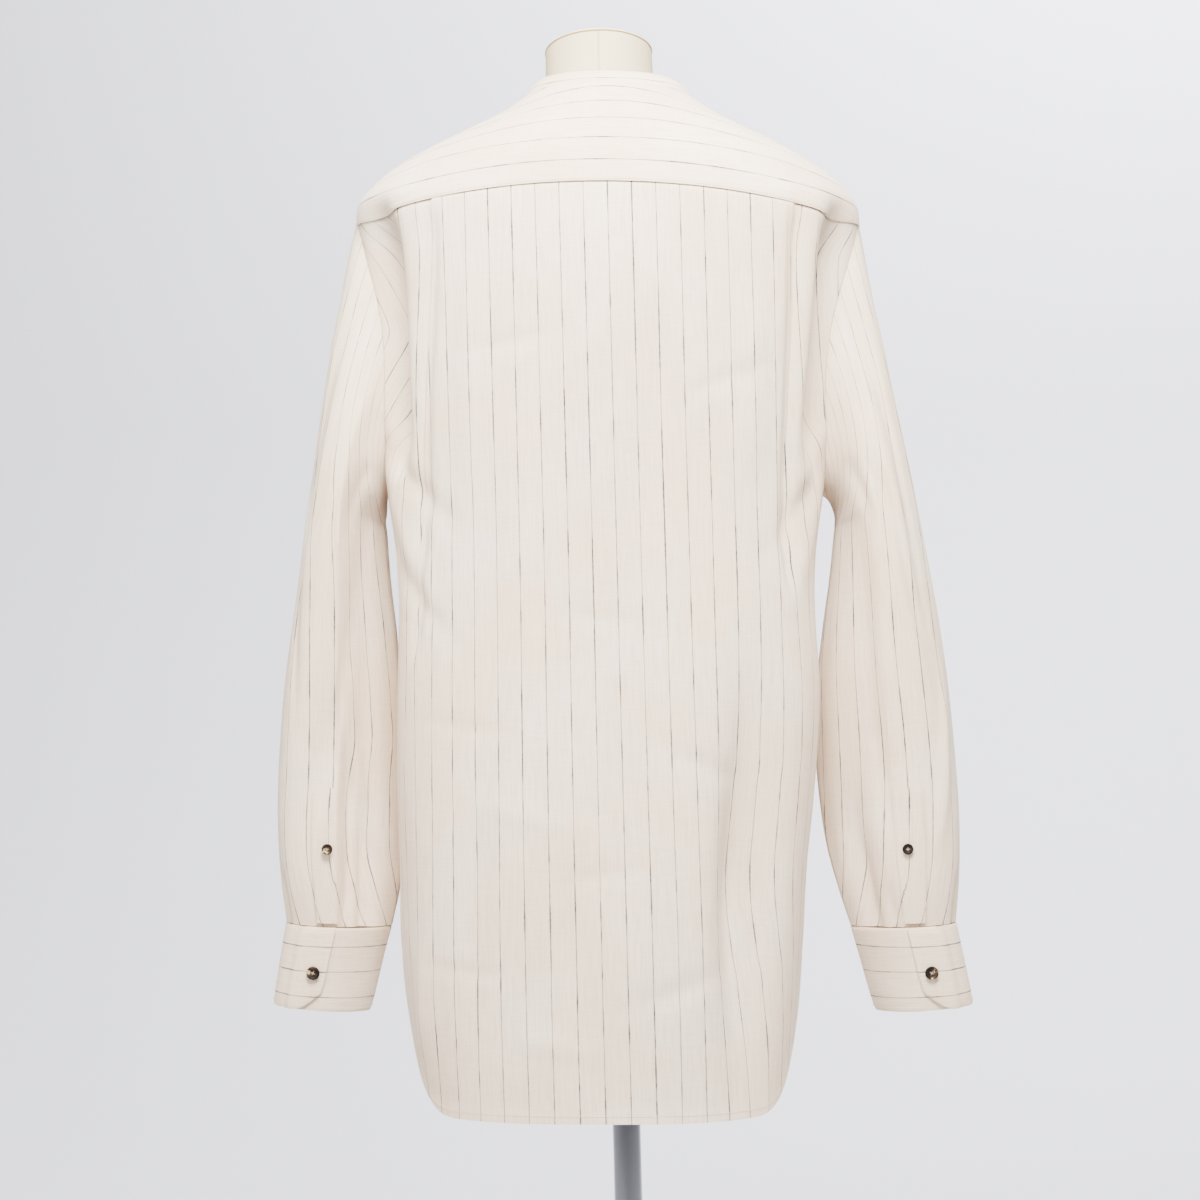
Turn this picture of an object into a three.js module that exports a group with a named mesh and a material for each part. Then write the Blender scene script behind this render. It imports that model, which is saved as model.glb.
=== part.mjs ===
// A long-sleeved linen shirt with a band collar, buttoned up on a limbless dress form.
// Millimetres, +Z up, floor at z = 0. The shirt's back faces +Y, its front -Y, the wearer's left is +X.
// Every torso panel is a piece of one surface, torsoPoint(turn, z). Turn is the angle round the body
// in degrees: 0 at the centre back, 90 at the wearer's left side, 180 at the centre front.
import * as THREE from "three";

// ---- driving dimensions ----
const CLOTH = 1.2; // thickness of a single panel's wall
const BAND_CLOTH = 2; // thickness of the collar band and the cuffs
const SEAM_GAP = 0.3;
const SEAM_TURN = 0.1; // the same gap as an angle round the body
const HAIR = 0.6; // clearance of a piece that follows another's curve
const HEM_BACK = 614;
const HEM_FRONT = 640;
const HEM_SIDE = 738;
const HEM_TURNS = { back: 47, front: 50, side: 91 }; // where the tails' curves begin and end
const HEM_ROUND = 1.6; // how late the tails' curves rise
const YOKE_SEAM = 1346; // height of the back yoke seam at the centre
const YOKE_SEAM_FALL = 0.0006; // how much it falls towards the shoulders, per mm squared
const NECK_SEAM = 1429;
const NECK_DIP = 26; // how much lower the collar seam is at the centre front
const NECK_BACK_TURN = 76; // the back of the neck runs this far to each side of the centre
const BAND_RISE = 15;
const LEAN = 0.026; // the worn shirt hangs lower on the wearer's right by this slope
const UNDERARM = 1105;
const SHOULDER_POINT = 1339;
const ARMHOLE_BACK = 13; // how far the armhole reaches back and forward from the side, in degrees
const ARMHOLE_FRONT = 18;
const ARMHOLE_ROUND = 0.85;
const YOKE_BACK_CORNER = 1324; // heights at which the yoke seams meet the armhole
const YOKE_FRONT_CORNER = 1300;
const YOKE_SAG = 8; // mean depth of the seam below its middle
const YOKE_CORNER_TURNS = [62, 82]; // where the seam bends down to the armhole
const YOKE_NECK_TURN = 125; // where the front yoke seams meet the collar
const FRONT_EDGE_TURN = 187; // where the buttoned front's edge lies, past the centre
const UNDERLAP = 2.4; // how far the under front is sunk below the upper one
const UNDERLAP_TURNS = [166, 172]; // where it sinks
const FRONT_UNDER_SHORT = 1.5; // how much shorter the under front is, in degrees
const CUFF_LAP = 26; // overlap of the cuff's ends, in degrees
const CUFF_LAP_RISE = 2.8;
const CUFF_LAP_EASE = 16; // degrees over which the upper end rises
const CUFF_CORNER = 17; // radius of the cuff's round corner
const WRIST_R = 40; // mean reach of a cuff from the middle of the wrist
const PLACKET_OUT = 2.2; // outer face of the sleeve placket above the sleeve's
const CUFF_BUTTON_R = 5.5;
const SLEEVE_BUTTON_R = 4.5;
const FRONT_BUTTON_R = 5.5;
const FRONT_BUTTONS = 7;
const FRONT_BUTTON_STEP = 88;
const FRONT_BUTTON_FIRST = 62; // depth of the first front button below the collar seam
const BUTTON_SEGMENTS = 12;
const FORM_BOTTOM = 684;
const NECK_R = 43.5;
const NECK_FOOT = 1446;
const NECK_TOP = 1467;
const NECK_TILT = 0.25; // slope of the neck's top, high at the back
const CAP_R = 44.1;
const CAP_RIM = 1.5;
const CAP_RISE = 7;
const POLE_R = 11.5;
const BASE_R = 160;
const BASE_H = 14;

// Horizontal sections of the worn shirt, before its folds. Shift moves the section along X; half is
// its half-width, back and front its reach from the axis, round the exponent of its superellipse.
const BODY = [
  { z: 600, shift: 17, half: 149, back: 127, front: 116, round: 2.9 },
  { z: 668, shift: 16.5, half: 156, back: 127, front: 120, round: 2.9 },
  { z: 740, shift: 16, half: 163, back: 126, front: 122, round: 2.9 },
  { z: 800, shift: 13.5, half: 168, back: 124, front: 122, round: 2.9 },
  { z: 860, shift: 10, half: 173, back: 121, front: 120, round: 2.9 },
  { z: 940, shift: 5.5, half: 176, back: 117, front: 116, round: 2.9 },
  { z: 1020, shift: 5, half: 174, back: 114, front: 115, round: 2.8 },
  { z: 1100, shift: 4, half: 177, back: 114, front: 119, round: 2.6 },
  { z: 1180, shift: 1, half: 188, back: 117, front: 123, round: 2.5 },
  { z: 1260, shift: -3, half: 197, back: 121, front: 120, round: 2.4 },
  { z: 1310, shift: -4, half: 203, back: 122, front: 115, round: 2.4 },
  { z: 1340, shift: -4, half: 203, back: 120.5, front: 108, round: 2.4 },
  { z: 1357, shift: -4.5, half: 191, back: 118, front: 102, round: 2.3 },
  { z: 1372, shift: -5, half: 172, back: 113.5, front: 95, round: 2.3 },
  { z: 1387, shift: -6, half: 147, back: 106, front: 88, round: 2.2 },
  { z: 1402, shift: -6.5, half: 116, back: 96.5, front: 80, round: 2.2 },
  { z: 1416, shift: -7, half: 89, back: 84.5, front: 71, round: 2.1 },
  { z: 1431, shift: -7, half: 68, back: 69, front: 62, round: 2 },
];

// Folds of the body. Each runs from its head to its foot with a depth (in is negative) and a width in
// degrees on each side of its line; fade is the length over which it dies out at either end.
const BODY_FOLDS = [
  { head: 1352, headTurn: 71, foot: 1112, footTurn: 71, deep: -26, wide: 5, fade: 60 },
  { head: 1352, headTurn: -72, foot: 1112, footTurn: -72, deep: -26, wide: 5, fade: 60 },
  { head: 1360, headTurn: 54, foot: 900, footTurn: 67, deep: -6, wide: 2.6, fade: 70 },
  { head: 1360, headTurn: -57, foot: 1010, footTurn: -62, deep: -7, wide: 2.6, fade: 60 },
  { head: 1110, headTurn: 97, foot: 740, footTurn: 97, deep: -13, wide: 17, fade: 90 },
  { head: 1110, headTurn: -97, foot: 740, footTurn: -97, deep: -13, wide: 17, fade: 90 },
  { head: 1030, headTurn: -49, foot: 560, footTurn: -46, deep: -27, wide: 8, fade: 260 },
  { head: 1240, headTurn: 30, foot: 700, footTurn: 27, deep: 4, wide: 9, fade: 160 },
  { head: 1120, headTurn: -22, foot: 620, footTurn: -27, deep: 5, wide: 10, fade: 160 },
  { head: 1330, headTurn: 124, foot: 900, footTurn: 132, deep: -8, wide: 9, fade: 140 },
  { head: 1330, headTurn: -128, foot: 860, footTurn: -134, deep: -7, wide: 9, fade: 140 },
  { head: 980, headTurn: 150, foot: 600, footTurn: 147, deep: -14, wide: 9, fade: 180 },
  { head: 940, headTurn: -146, foot: 600, footTurn: -150, deep: -12, wide: 9, fade: 180 },
];

// The line of each back pleat, by the sign of its side: turn at the yoke seam and at the foot.
const PLEAT = { 1: { head: 54, foot: 67, end: 900 }, "-1": { head: -57, foot: -62, end: 1010 } };

// The sleeves' rings from the armhole to the cuff seam: the outermost point, the innermost point of
// the left and of the right sleeve, and how far the ring reaches back and front. The first rings turn
// down round the underarm like a fan. The shirt leans left, so the right sleeve lies closer in.
// Flat and slant are the powers that square the outer back of the ring and slope its inner back away.
const SLEEVE = [
  { outX: 204, outZ: 1339, left: 178, right: 178, inZ: 1105, back: 42, front: -60, flat: 0.92, slant: 0.92 },
  { outX: 210, outZ: 1308, left: 181, right: 181, inZ: 1102, back: 46, front: -64, flat: 0.86, slant: 0.96 },
  { outX: 217, outZ: 1270, left: 183, right: 183, inZ: 1098, back: 50, front: -70, flat: 0.78, slant: 1.02 },
  { outX: 225, outZ: 1228, left: 184, right: 184, inZ: 1094, back: 54, front: -76, flat: 0.7, slant: 1.1 },
  { outX: 232, outZ: 1184, left: 185, right: 185, inZ: 1089, back: 57, front: -80, flat: 0.64, slant: 1.18 },
  { outX: 240, outZ: 1138, left: 186, right: 185, inZ: 1083, back: 58, front: -82, flat: 0.6, slant: 1.24 },
  { outX: 248, outZ: 1092, left: 185, right: 184, inZ: 1074, back: 57, front: -83, flat: 0.58, slant: 1.3 },
  { outX: 256, outZ: 1044, left: 183, right: 179, inZ: 1036, back: 54, front: -82, flat: 0.58, slant: 1.34 },
  { outX: 264, outZ: 996, left: 179, right: 172, inZ: 992, back: 49, front: -80, flat: 0.58, slant: 1.36 },
  { outX: 271, outZ: 948, left: 177, right: 166, inZ: 946, back: 45, front: -77, flat: 0.58, slant: 1.36 },
  { outX: 276, outZ: 902, left: 176, right: 164, inZ: 901, back: 42, front: -73, flat: 0.58, slant: 1.36 },
  { outX: 279, outZ: 858, left: 176, right: 166, inZ: 857, back: 40, front: -67, flat: 0.58, slant: 1.36 },
  { outX: 279, outZ: 818, left: 177, right: 171, inZ: 817, back: 38, front: -59, flat: 0.58, slant: 1.34 },
  { outX: 277, outZ: 785, left: 181, right: 179, inZ: 784, back: 36, front: -50, flat: 0.62, slant: 1.28 },
  { outX: 274, outZ: 757.6, left: 188, right: 188, inZ: 753.6, back: 33, front: -41, flat: 0.68, slant: 1.2 },
];

// Creases of the sleeves: place round the sleeve (0 outside, 90 back, 180 inside) at the head and
// foot ring, depth, and width in degrees.
const SLEEVE_FOLDS = [
  { side: 1, head: 0.5, headAt: 62, foot: 8, footAt: 22, deep: -5, wide: 11 },
  { side: 1, head: 1, headAt: 98, foot: 7, footAt: 82, deep: 5, wide: 12 },
  { side: 1, head: 7, headAt: 118, foot: 12, footAt: 66, deep: -5, wide: 12 },
  { side: 1, head: 9, headAt: -40, foot: 13, footAt: -90, deep: -5, wide: 13 },
  { side: 1, head: 11, headAt: 128, foot: 15, footAt: 126, deep: -6, wide: 10 },
  { side: -1, head: 0.5, headAt: 70, foot: 9, footAt: 48, deep: -5, wide: 11 },
  { side: -1, head: 2, headAt: 30, foot: 10, footAt: 14, deep: 4, wide: 10 },
  { side: -1, head: 6, headAt: 124, foot: 12, footAt: 96, deep: -6, wide: 12 },
  { side: -1, head: 9, headAt: -36, foot: 13, footAt: -96, deep: -5, wide: 13 },
  { side: -1, head: 11, headAt: 134, foot: 15, footAt: 130, deep: -6, wide: 10 },
];

// The cuff's rings, top to bottom, in the same columns as the sleeve's.
const CUFF = [
  { outX: 274.5, outZ: 757, left: 188, right: 188, inZ: 753, back: 34, front: -42, flat: 0.68, slant: 1.2 },
  { outX: 279, outZ: 734, left: 195, right: 194, inZ: 730, back: 33.5, front: -41, flat: 0.68, slant: 1.2 },
  { outX: 287, outZ: 691, left: 207, right: 206, inZ: 684, back: 32, front: -39, flat: 0.68, slant: 1.2 },
];

// Horizontal sections of the dress form, from its flat bottom to the neck.
const FORM = [
  { z: 684, half: 100, back: 80, front: 76, round: 2.3 },
  { z: 689, half: 116, back: 91, front: 87, round: 2.3 },
  { z: 708, half: 126, back: 99, front: 95, round: 2.3 },
  { z: 770, half: 130, back: 103, front: 99, round: 2.3 },
  { z: 840, half: 130, back: 101, front: 98, round: 2.3 },
  { z: 910, half: 123, back: 94, front: 92, round: 2.3 },
  { z: 990, half: 116, back: 86, front: 88, round: 2.2 },
  { z: 1060, half: 122, back: 89, front: 95, round: 2.2 },
  { z: 1140, half: 136, back: 98, front: 104, round: 2.2 },
  { z: 1220, half: 148, back: 107, front: 107, round: 2.2 },
  { z: 1290, half: 160, back: 113, front: 101, round: 2.1 },
  { z: 1330, half: 171, back: 112, front: 92, round: 2.1 },
  { z: 1348, half: 165, back: 109, front: 88, round: 2.1 },
  { z: 1362, half: 150, back: 104, front: 83, round: 2.1 },
  { z: 1378, half: 124, back: 97, front: 76, round: 2.1 },
  { z: 1393, half: 98, back: 87, front: 68, round: 2 },
  { z: 1407, half: 77, back: 74, front: 59, round: 2 },
  { z: 1420, half: 58, back: 60, front: 52, round: 2 },
  { z: 1434, half: 47, back: 48, front: 46, round: 2 },
  { z: NECK_FOOT, half: 44.3, back: 44.3, front: 44.3, round: 2 },
  { z: NECK_TOP, half: NECK_R, back: NECK_R, front: NECK_R, round: 2 },
];

// ---- finishes ----
const LOOKS = {
  linen: { color: 0xf0e9df, roughness: 0.85 },
  cover: { color: 0xe6dfc8, roughness: 0.8 },
  horn: { color: 0x2a1f18, roughness: 0.3 },
  chrome: { color: 0xd6d8da, roughness: 0.12, metalness: 1 },
};

const look = (finish) => new THREE.MeshStandardMaterial(LOOKS[finish]);

// ---- helpers ----
const radians = THREE.MathUtils.degToRad;
const lerp = THREE.MathUtils.lerp;
const clamp = THREE.MathUtils.clamp;
const smoothstep = THREE.MathUtils.smoothstep;
const bell = (offset, width) => Math.exp(-((offset / width) ** 2));
const spread = (from, to, count) =>
  Array.from({ length: count + 1 }, (_, i) => lerp(from, to, i / count));

// A table's column at a place between its rows, on a smooth curve through them.
function column(table, name, place, key) {
  const at = (i) => table[clamp(i, 0, table.length - 1)];
  const where = (i) => (key ? at(i)[key] : clamp(i, 0, table.length - 1));
  const last = table.length - 2;
  const span = key
    ? clamp(table.findIndex((row) => row[key] > place) - 1, 0, last)
    : clamp(Math.floor(place), 0, last);
  const row = key && place >= where(last + 1) ? last : span;
  const step = where(row + 1) - where(row);
  const t = clamp((place - where(row)) / step, 0, 1);
  const slope = (i) =>
    ((at(i + 1)[name] - at(i - 1)[name]) / (where(i + 1) - where(i - 1) || 1)) * step;
  const [a, b] = [at(row)[name], at(row + 1)[name]];
  return (
    a * (1 + 2 * t) * (1 - t) ** 2 +
    b * t * t * (3 - 2 * t) +
    slope(row) * t * (1 - t) ** 2 -
    slope(row + 1) * t * t * (1 - t)
  );
}

// The reach from the axis of a table's section at a height, in a direction.
function sectionReach(table, turn, z) {
  const ahead = Math.cos(radians(turn));
  const aside = Math.sin(radians(turn));
  const round = column(table, "round", z, "z");
  const deep = column(table, ahead >= 0 ? "back" : "front", z, "z");
  const wide = column(table, "half", z, "z");
  return (Math.abs(aside / wide) ** round + Math.abs(ahead / deep) ** round) ** (-1 / round);
}

const wrapTurn = (turn) => ((((turn + 180) % 360) + 360) % 360) - 180;

// How far the body's folds move the cloth out at a place.
function bodyFolds(turn, z) {
  let out = 0;
  for (const fold of BODY_FOLDS) {
    const along = (fold.head - z) / (fold.head - fold.foot);
    const line = lerp(fold.headTurn, fold.footTurn, clamp(along, 0, 1));
    const alive = smoothstep(fold.head - z, 0, fold.fade) * smoothstep(z - fold.foot, 0, fold.fade);
    out += fold.deep * alive * bell(wrapTurn(turn - line), fold.wide);
  }
  return out;
}

// A point of the shirt's outer surface, sunk below it by a depth.
function torsoPoint(turn, z, sunk = 0) {
  const reach = sectionReach(BODY, turn, z) + bodyFolds(turn, z) - sunk;
  const shift = column(BODY, "shift", z, "z");
  const angle = radians(turn);
  const x = shift + reach * Math.sin(angle);
  return new THREE.Vector3(x, reach * Math.cos(angle), z + LEAN * x);
}

function torsoNormal(turn, z) {
  const across = torsoPoint(turn + 0.5, z).sub(torsoPoint(turn - 0.5, z));
  const up = torsoPoint(turn, z + 1).sub(torsoPoint(turn, z - 1));
  return up.cross(across).normalize();
}

// ---- seams, as curves on the torso ----
const ARMHOLE_MIDDLE = (SHOULDER_POINT + UNDERARM) / 2;
const ARMHOLE_HALF = (SHOULDER_POINT - UNDERARM) / 2;

// The armhole at a place round it: 0 at the shoulder point, 90 back, 180 underarm, 270 front.
function armhole(side, place) {
  const aside = Math.sin(radians(place));
  const reach = aside >= 0 ? -ARMHOLE_BACK : ARMHOLE_FRONT;
  const z = ARMHOLE_MIDDLE + ARMHOLE_HALF * Math.cos(radians(place));
  return { turn: side * (90 + reach * Math.abs(aside) ** ARMHOLE_ROUND), z };
}

const armholePlace = (z) =>
  THREE.MathUtils.radToDeg(Math.acos(clamp((z - ARMHOLE_MIDDLE) / ARMHOLE_HALF, -1, 1)));

function hemHeight(turn) {
  const away = Math.abs(wrapTurn(turn));
  const tail = away <= 90 ? HEM_BACK : HEM_FRONT;
  const rise =
    away <= 90
      ? smoothstep(away, HEM_TURNS.back, HEM_TURNS.side)
      : smoothstep(180 - away, HEM_TURNS.front, HEM_TURNS.side);
  return lerp(tail, HEM_SIDE, rise ** HEM_ROUND);
}

function yokeSeamHeight(turn) {
  const aside = torsoPoint(turn, YOKE_SEAM - YOKE_SAG).x;
  const fallen = YOKE_SEAM - YOKE_SEAM_FALL * aside * aside;
  const near = smoothstep(Math.abs(turn), ...YOKE_CORNER_TURNS);
  return lerp(fallen, YOKE_BACK_CORNER, near);
}

const neckHeight = (turn) =>
  NECK_SEAM - NECK_DIP * smoothstep(Math.abs(wrapTurn(turn)), NECK_BACK_TURN, 180);

// The top edge of a front: the yoke seam out to the collar, then the collar seam.
function frontTop(turn) {
  const away = Math.abs(turn);
  if (away >= YOKE_NECK_TURN) return neckHeight(turn);
  const along = (away - FRONT_CORNER_TURN) / (YOKE_NECK_TURN - FRONT_CORNER_TURN);
  return lerp(YOKE_FRONT_CORNER, neckHeight(YOKE_NECK_TURN), clamp(along, 0, 1));
}

// ---- solids ----
function solidFrom(points, faces, name, finish) {
  const corner = (i) => new THREE.Vector3().fromArray(points, i * 3);
  let volume = 0;
  for (let i = 0; i < faces.length; i += 3) {
    volume += corner(faces[i]).dot(corner(faces[i + 1]).cross(corner(faces[i + 2])));
  }
  if (volume < 0) faces.reverse();
  const geometry = new THREE.BufferGeometry();
  geometry.setAttribute("position", new THREE.Float32BufferAttribute(points, 3));
  geometry.setIndex(faces);
  geometry.computeVertexNormals();
  const mesh = new THREE.Mesh(geometry, look(finish));
  mesh.name = name;
  return mesh;
}

// A wall of cloth: its outer face runs through grid[i][j], its inner face lies along the normals
// inside. A closed wall joins its last column to its first.
function wall(grid, normals, thickness, closed, name, finish) {
  const columns = grid.length;
  const rows = grid[0].length;
  const points = [];
  for (const depth of [0, thickness]) {
    grid.forEach((line, i) =>
      line.forEach((point, j) => {
        points.push(...point.clone().addScaledVector(normals[i][j], -depth).toArray());
      }),
    );
  }
  const inner = columns * rows;
  const id = (i, j) => (i % columns) * rows + j;
  const faces = [];
  const quad = (a, b, c, d) => faces.push(a, b, c, a, c, d);
  const spans = closed ? columns : columns - 1;
  for (let i = 0; i < spans; i++) {
    for (let j = 0; j < rows - 1; j++) {
      quad(id(i, j), id(i + 1, j), id(i + 1, j + 1), id(i, j + 1));
      quad(inner + id(i, j), inner + id(i, j + 1), inner + id(i + 1, j + 1), inner + id(i + 1, j));
    }
    quad(id(i, 0), inner + id(i, 0), inner + id(i + 1, 0), id(i + 1, 0));
    const top = rows - 1;
    quad(id(i, top), id(i + 1, top), inner + id(i + 1, top), inner + id(i, top));
  }
  if (!closed) {
    const end = columns - 1;
    for (let j = 0; j < rows - 1; j++) {
      quad(id(0, j), id(0, j + 1), inner + id(0, j + 1), inner + id(0, j));
      quad(id(end, j), inner + id(end, j), inner + id(end, j + 1), id(end, j + 1));
    }
  }
  return solidFrom(points, faces, name, finish);
}

// Normals of a grid's own surface, turned away from a point inside it.
function gridNormals(grid, closed, insideOf) {
  const columns = grid.length;
  const rows = grid[0].length;
  return grid.map((line, i) =>
    line.map((point, j) => {
      const before = closed ? (i + columns - 1) % columns : Math.max(i - 1, 0);
      const after = closed ? (i + 1) % columns : Math.min(i + 1, columns - 1);
      const across = grid[after][j].clone().sub(grid[before][j]);
      const along = grid[i][Math.min(j + 1, rows - 1)].clone().sub(grid[i][Math.max(j - 1, 0)]);
      const normal = across.cross(along).normalize();
      return normal.dot(point.clone().sub(insideOf(i, j))) < 0 ? normal.negate() : normal;
    }),
  );
}

// A closed solid through rings of equal length, with flat or pointed ends.
function loft(rings, name, finish) {
  const count = rings[0].length;
  const points = rings.flat().flatMap((point) => point.toArray());
  const faces = [];
  for (let j = 0; j < rings.length - 1; j++) {
    for (let i = 0; i < count; i++) {
      const next = (i + 1) % count;
      const [a, b] = [j * count + i, j * count + next];
      faces.push(a, b, b + count, a, b + count, a + count);
    }
  }
  for (const [ring, turned] of [
    [0, true],
    [rings.length - 1, false],
  ]) {
    const middle = new THREE.Vector3();
    rings[ring].forEach((point) => middle.addScaledVector(point, 1 / count));
    const hub = points.length / 3;
    points.push(...middle.toArray());
    for (let i = 0; i < count; i++) {
      const [a, b] = [ring * count + i, ring * count + ((i + 1) % count)];
      faces.push(...(turned ? [b, a, hub] : [a, b, hub]));
    }
  }
  return solidFrom(points, faces, name, finish);
}

// ---- torso panels ----
// Rows up a panel: below the underarm, then above it. The armhole shares the upper ones.
const LOW_ROWS = spread(0, 1, 13);
const HIGH_ROWS = [0.03, 0.1, 0.2, 0.32, 0.46, 0.6, 0.74, 0.88, 1];
const CAP_COLUMNS = 6; // columns of the armhole that lie on the yoke

const rowHeights = (hem, top) => [
  ...LOW_ROWS.map((share) => lerp(hem, UNDERARM, share)),
  ...HIGH_ROWS.map((share) => lerp(UNDERARM, top, share)),
];

function panel(places, name, finish, sunkAt = () => 0) {
  const normals = places.map((line) => line.map(({ turn, z }) => torsoNormal(turn, z)));
  const grid = places.map((line) => line.map(({ turn, z }) => torsoPoint(turn, z, sunkAt(turn))));
  return wall(grid, normals, CLOTH, false, name, finish);
}

const backEdge = (z) =>
  z <= UNDERARM ? 90 - SEAM_TURN : armhole(1, armholePlace(z)).turn - SEAM_TURN;

const frontEdge = (z) =>
  z <= UNDERARM ? 90 + SEAM_TURN : armhole(1, -armholePlace(z)).turn + SEAM_TURN;

const FRONT_CORNER_TURN = armhole(1, -armholePlace(YOKE_FRONT_CORNER)).turn;
const YOKE_ROWS = 7;
const BAND_COLUMNS = 2; // the front's columns that the button band covers
const BAND_SUNK = -CLOTH - SEAM_GAP;

// Shares across half the back, from the centre to the side, close together at the pleat.
const PLEAT_SHARE = 0.62;
const PLEAT_HALF = 0.022;
const BACK_HALF = [
  ...spread(0, PLEAT_SHARE - PLEAT_HALF, 8),
  PLEAT_SHARE,
  ...spread(PLEAT_SHARE + PLEAT_HALF, 1, 7),
];
const BACK_SHARES = [...BACK_HALF.slice(1).map((share) => -share).reverse(), ...BACK_HALF];

function backTurn(share, z) {
  const side = share < 0 ? -1 : 1;
  const { head, foot, end } = PLEAT[side];
  const pleat = Math.abs(lerp(head, foot, clamp((YOKE_SEAM - z) / (YOKE_SEAM - end), 0, 1)));
  const away = Math.abs(share);
  const turn =
    away < PLEAT_SHARE
      ? (away / PLEAT_SHARE) * pleat
      : lerp(pleat, backEdge(z), (away - PLEAT_SHARE) / (1 - PLEAT_SHARE));
  return side * turn;
}

function backPanel(finish) {
  const places = BACK_SHARES.map((share) => {
    const guess = backTurn(share, YOKE_SEAM);
    const top = Math.abs(share) === 1 ? YOKE_BACK_CORNER : yokeSeamHeight(guess);
    const heights = rowHeights(hemHeight(backTurn(share, HEM_BACK)), top - SEAM_GAP / 2);
    return heights.map((z) => ({ turn: backTurn(share, z), z }));
  });
  return panel(places, "back", finish);
}

// The places of a front's points, column by column from its side to its edge. Its first columns end
// at the yoke's own points along the front seam.
function frontPlaces(side) {
  const last = side > 0 ? FRONT_EDGE_TURN : FRONT_EDGE_TURN - FRONT_UNDER_SHORT;
  const seamShare = (YOKE_NECK_TURN - FRONT_CORNER_TURN) / (last - FRONT_CORNER_TURN);
  const shares = [...spread(0, seamShare, YOKE_ROWS), ...spread(seamShare, 1, 8).slice(1)];
  return shares.map((share) => {
    const turnAt = (z) => lerp(frontEdge(Math.min(z, YOKE_FRONT_CORNER)), last, share);
    const top = frontTop(turnAt(YOKE_FRONT_CORNER) - SEAM_TURN) - SEAM_GAP / 2;
    const heights = rowHeights(hemHeight(turnAt(HEM_FRONT)), top);
    return heights.map((z) => ({ turn: side * turnAt(z), z }));
  });
}

function frontPanel(side, name, finish) {
  const lap = (turn) => UNDERLAP * smoothstep(Math.abs(turn), ...UNDERLAP_TURNS);
  return panel(frontPlaces(side), name, finish, side > 0 ? () => 0 : lap);
}

// The band that lies on the upper front's edge and carries the buttons: the front's last columns,
// moved out.
function frontBand(finish) {
  return panel(frontPlaces(1).slice(-BAND_COLUMNS - 1), "front_band", finish, () => BAND_SUNK);
}

// The yoke: its outer edge runs up one armhole, along the back seam and down the other armhole,
// its inner edge along the collar seam, and its two ends along the front seams.
function yoke(finish) {
  const frontPlace = armholePlace(YOKE_FRONT_CORNER);
  const backPlace = armholePlace(YOKE_BACK_CORNER);
  const outer = [];
  const inner = [];
  for (const side of [-1, 1]) {
    const cap = spread(-frontPlace, backPlace, CAP_COLUMNS).map((place) => {
      const edge = armhole(side, place);
      return { turn: edge.turn - side * SEAM_TURN * Math.sign(place), z: edge.z + SEAM_GAP };
    });
    const neck = spread(YOKE_NECK_TURN - SEAM_TURN, NECK_BACK_TURN, CAP_COLUMNS).map((turn) => side * turn);
    if (side < 0) {
      outer.push(...cap);
      inner.push(...neck);
      const seam = BACK_SHARES.slice(1, -1).map((share) => backTurn(share, YOKE_SEAM));
      outer.push(...seam.map((turn) => ({ turn, z: yokeSeamHeight(turn) + SEAM_GAP / 2 })));
      inner.push(...BACK_SHARES.slice(1, -1).map((share) => share * NECK_BACK_TURN));
    } else {
      outer.push(...cap.reverse());
      inner.push(...neck.reverse());
    }
  }
  const places = outer.map((edge, i) => {
    const rim = { turn: inner[i], z: neckHeight(inner[i]) - SEAM_GAP / 2 };
    const between = (t) => ({ turn: lerp(edge.turn, rim.turn, t), z: lerp(edge.z, rim.z, t) });
    return spread(0, 1, YOKE_ROWS).map(between);
  });
  return panel(places, "yoke", finish);
}

// ---- collar band ----
const COLLAR_LAP = 6; // how far the band's ends pass the centre front, in degrees
const COLLAR_LAP_TURNS = [170, 176]; // where the upper end rises over the lower
const COLLAR_TOP_X = 0.82; // how far the band leans in, as shares of its base
const COLLAR_TOP_Y = 0.73;

function collarPoint(turn, up) {
  const base = torsoPoint(turn, neckHeight(turn) + HAIR);
  const over = smoothstep(turn, ...COLLAR_LAP_TURNS) * (BAND_CLOTH + HAIR);
  const shift = column(BODY, "shift", NECK_SEAM, "z");
  const top = new THREE.Vector3(
    shift + (base.x - shift) * COLLAR_TOP_X,
    base.y * COLLAR_TOP_Y,
    base.z + BAND_RISE,
  );
  const away = new THREE.Vector3(base.x - shift, base.y, 0).normalize();
  return base.lerp(top, up).addScaledVector(away, over);
}

function collarBand(finish) {
  const turns = spread(-180 - COLLAR_LAP, 180 + COLLAR_LAP, 36);
  const grid = turns.map((turn) => spread(0, 1, 2).map((up) => collarPoint(turn, up)));
  const middle = column(BODY, "shift", NECK_SEAM, "z");
  const level = (point) => new THREE.Vector3(point.x - middle, point.y, 0).normalize();
  const normals = grid.map((line) => line.map(level));
  return wall(grid, normals, BAND_CLOTH, false, "collar_band", finish);
}

// ---- sleeves and cuffs ----
const SLEEVE_ROUND = 0.92; // under 1 squares the sleeve's front a little
const BACK_BLEND = 0.35; // how soon the back's own power takes over, as a sine

function sleeveFolds(side, place, ring) {
  let out = 0;
  for (const fold of SLEEVE_FOLDS) {
    if (fold.side !== side) continue;
    const along = (ring - fold.head) / (fold.foot - fold.head);
    const line = lerp(fold.headAt, fold.footAt, clamp(along, 0, 1));
    const alive = smoothstep(along, -0.15, 0.35) * smoothstep(1.15 - along, 0, 0.5);
    out += fold.deep * alive * bell(wrapTurn(place - line), fold.wide);
  }
  return out;
}

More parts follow.
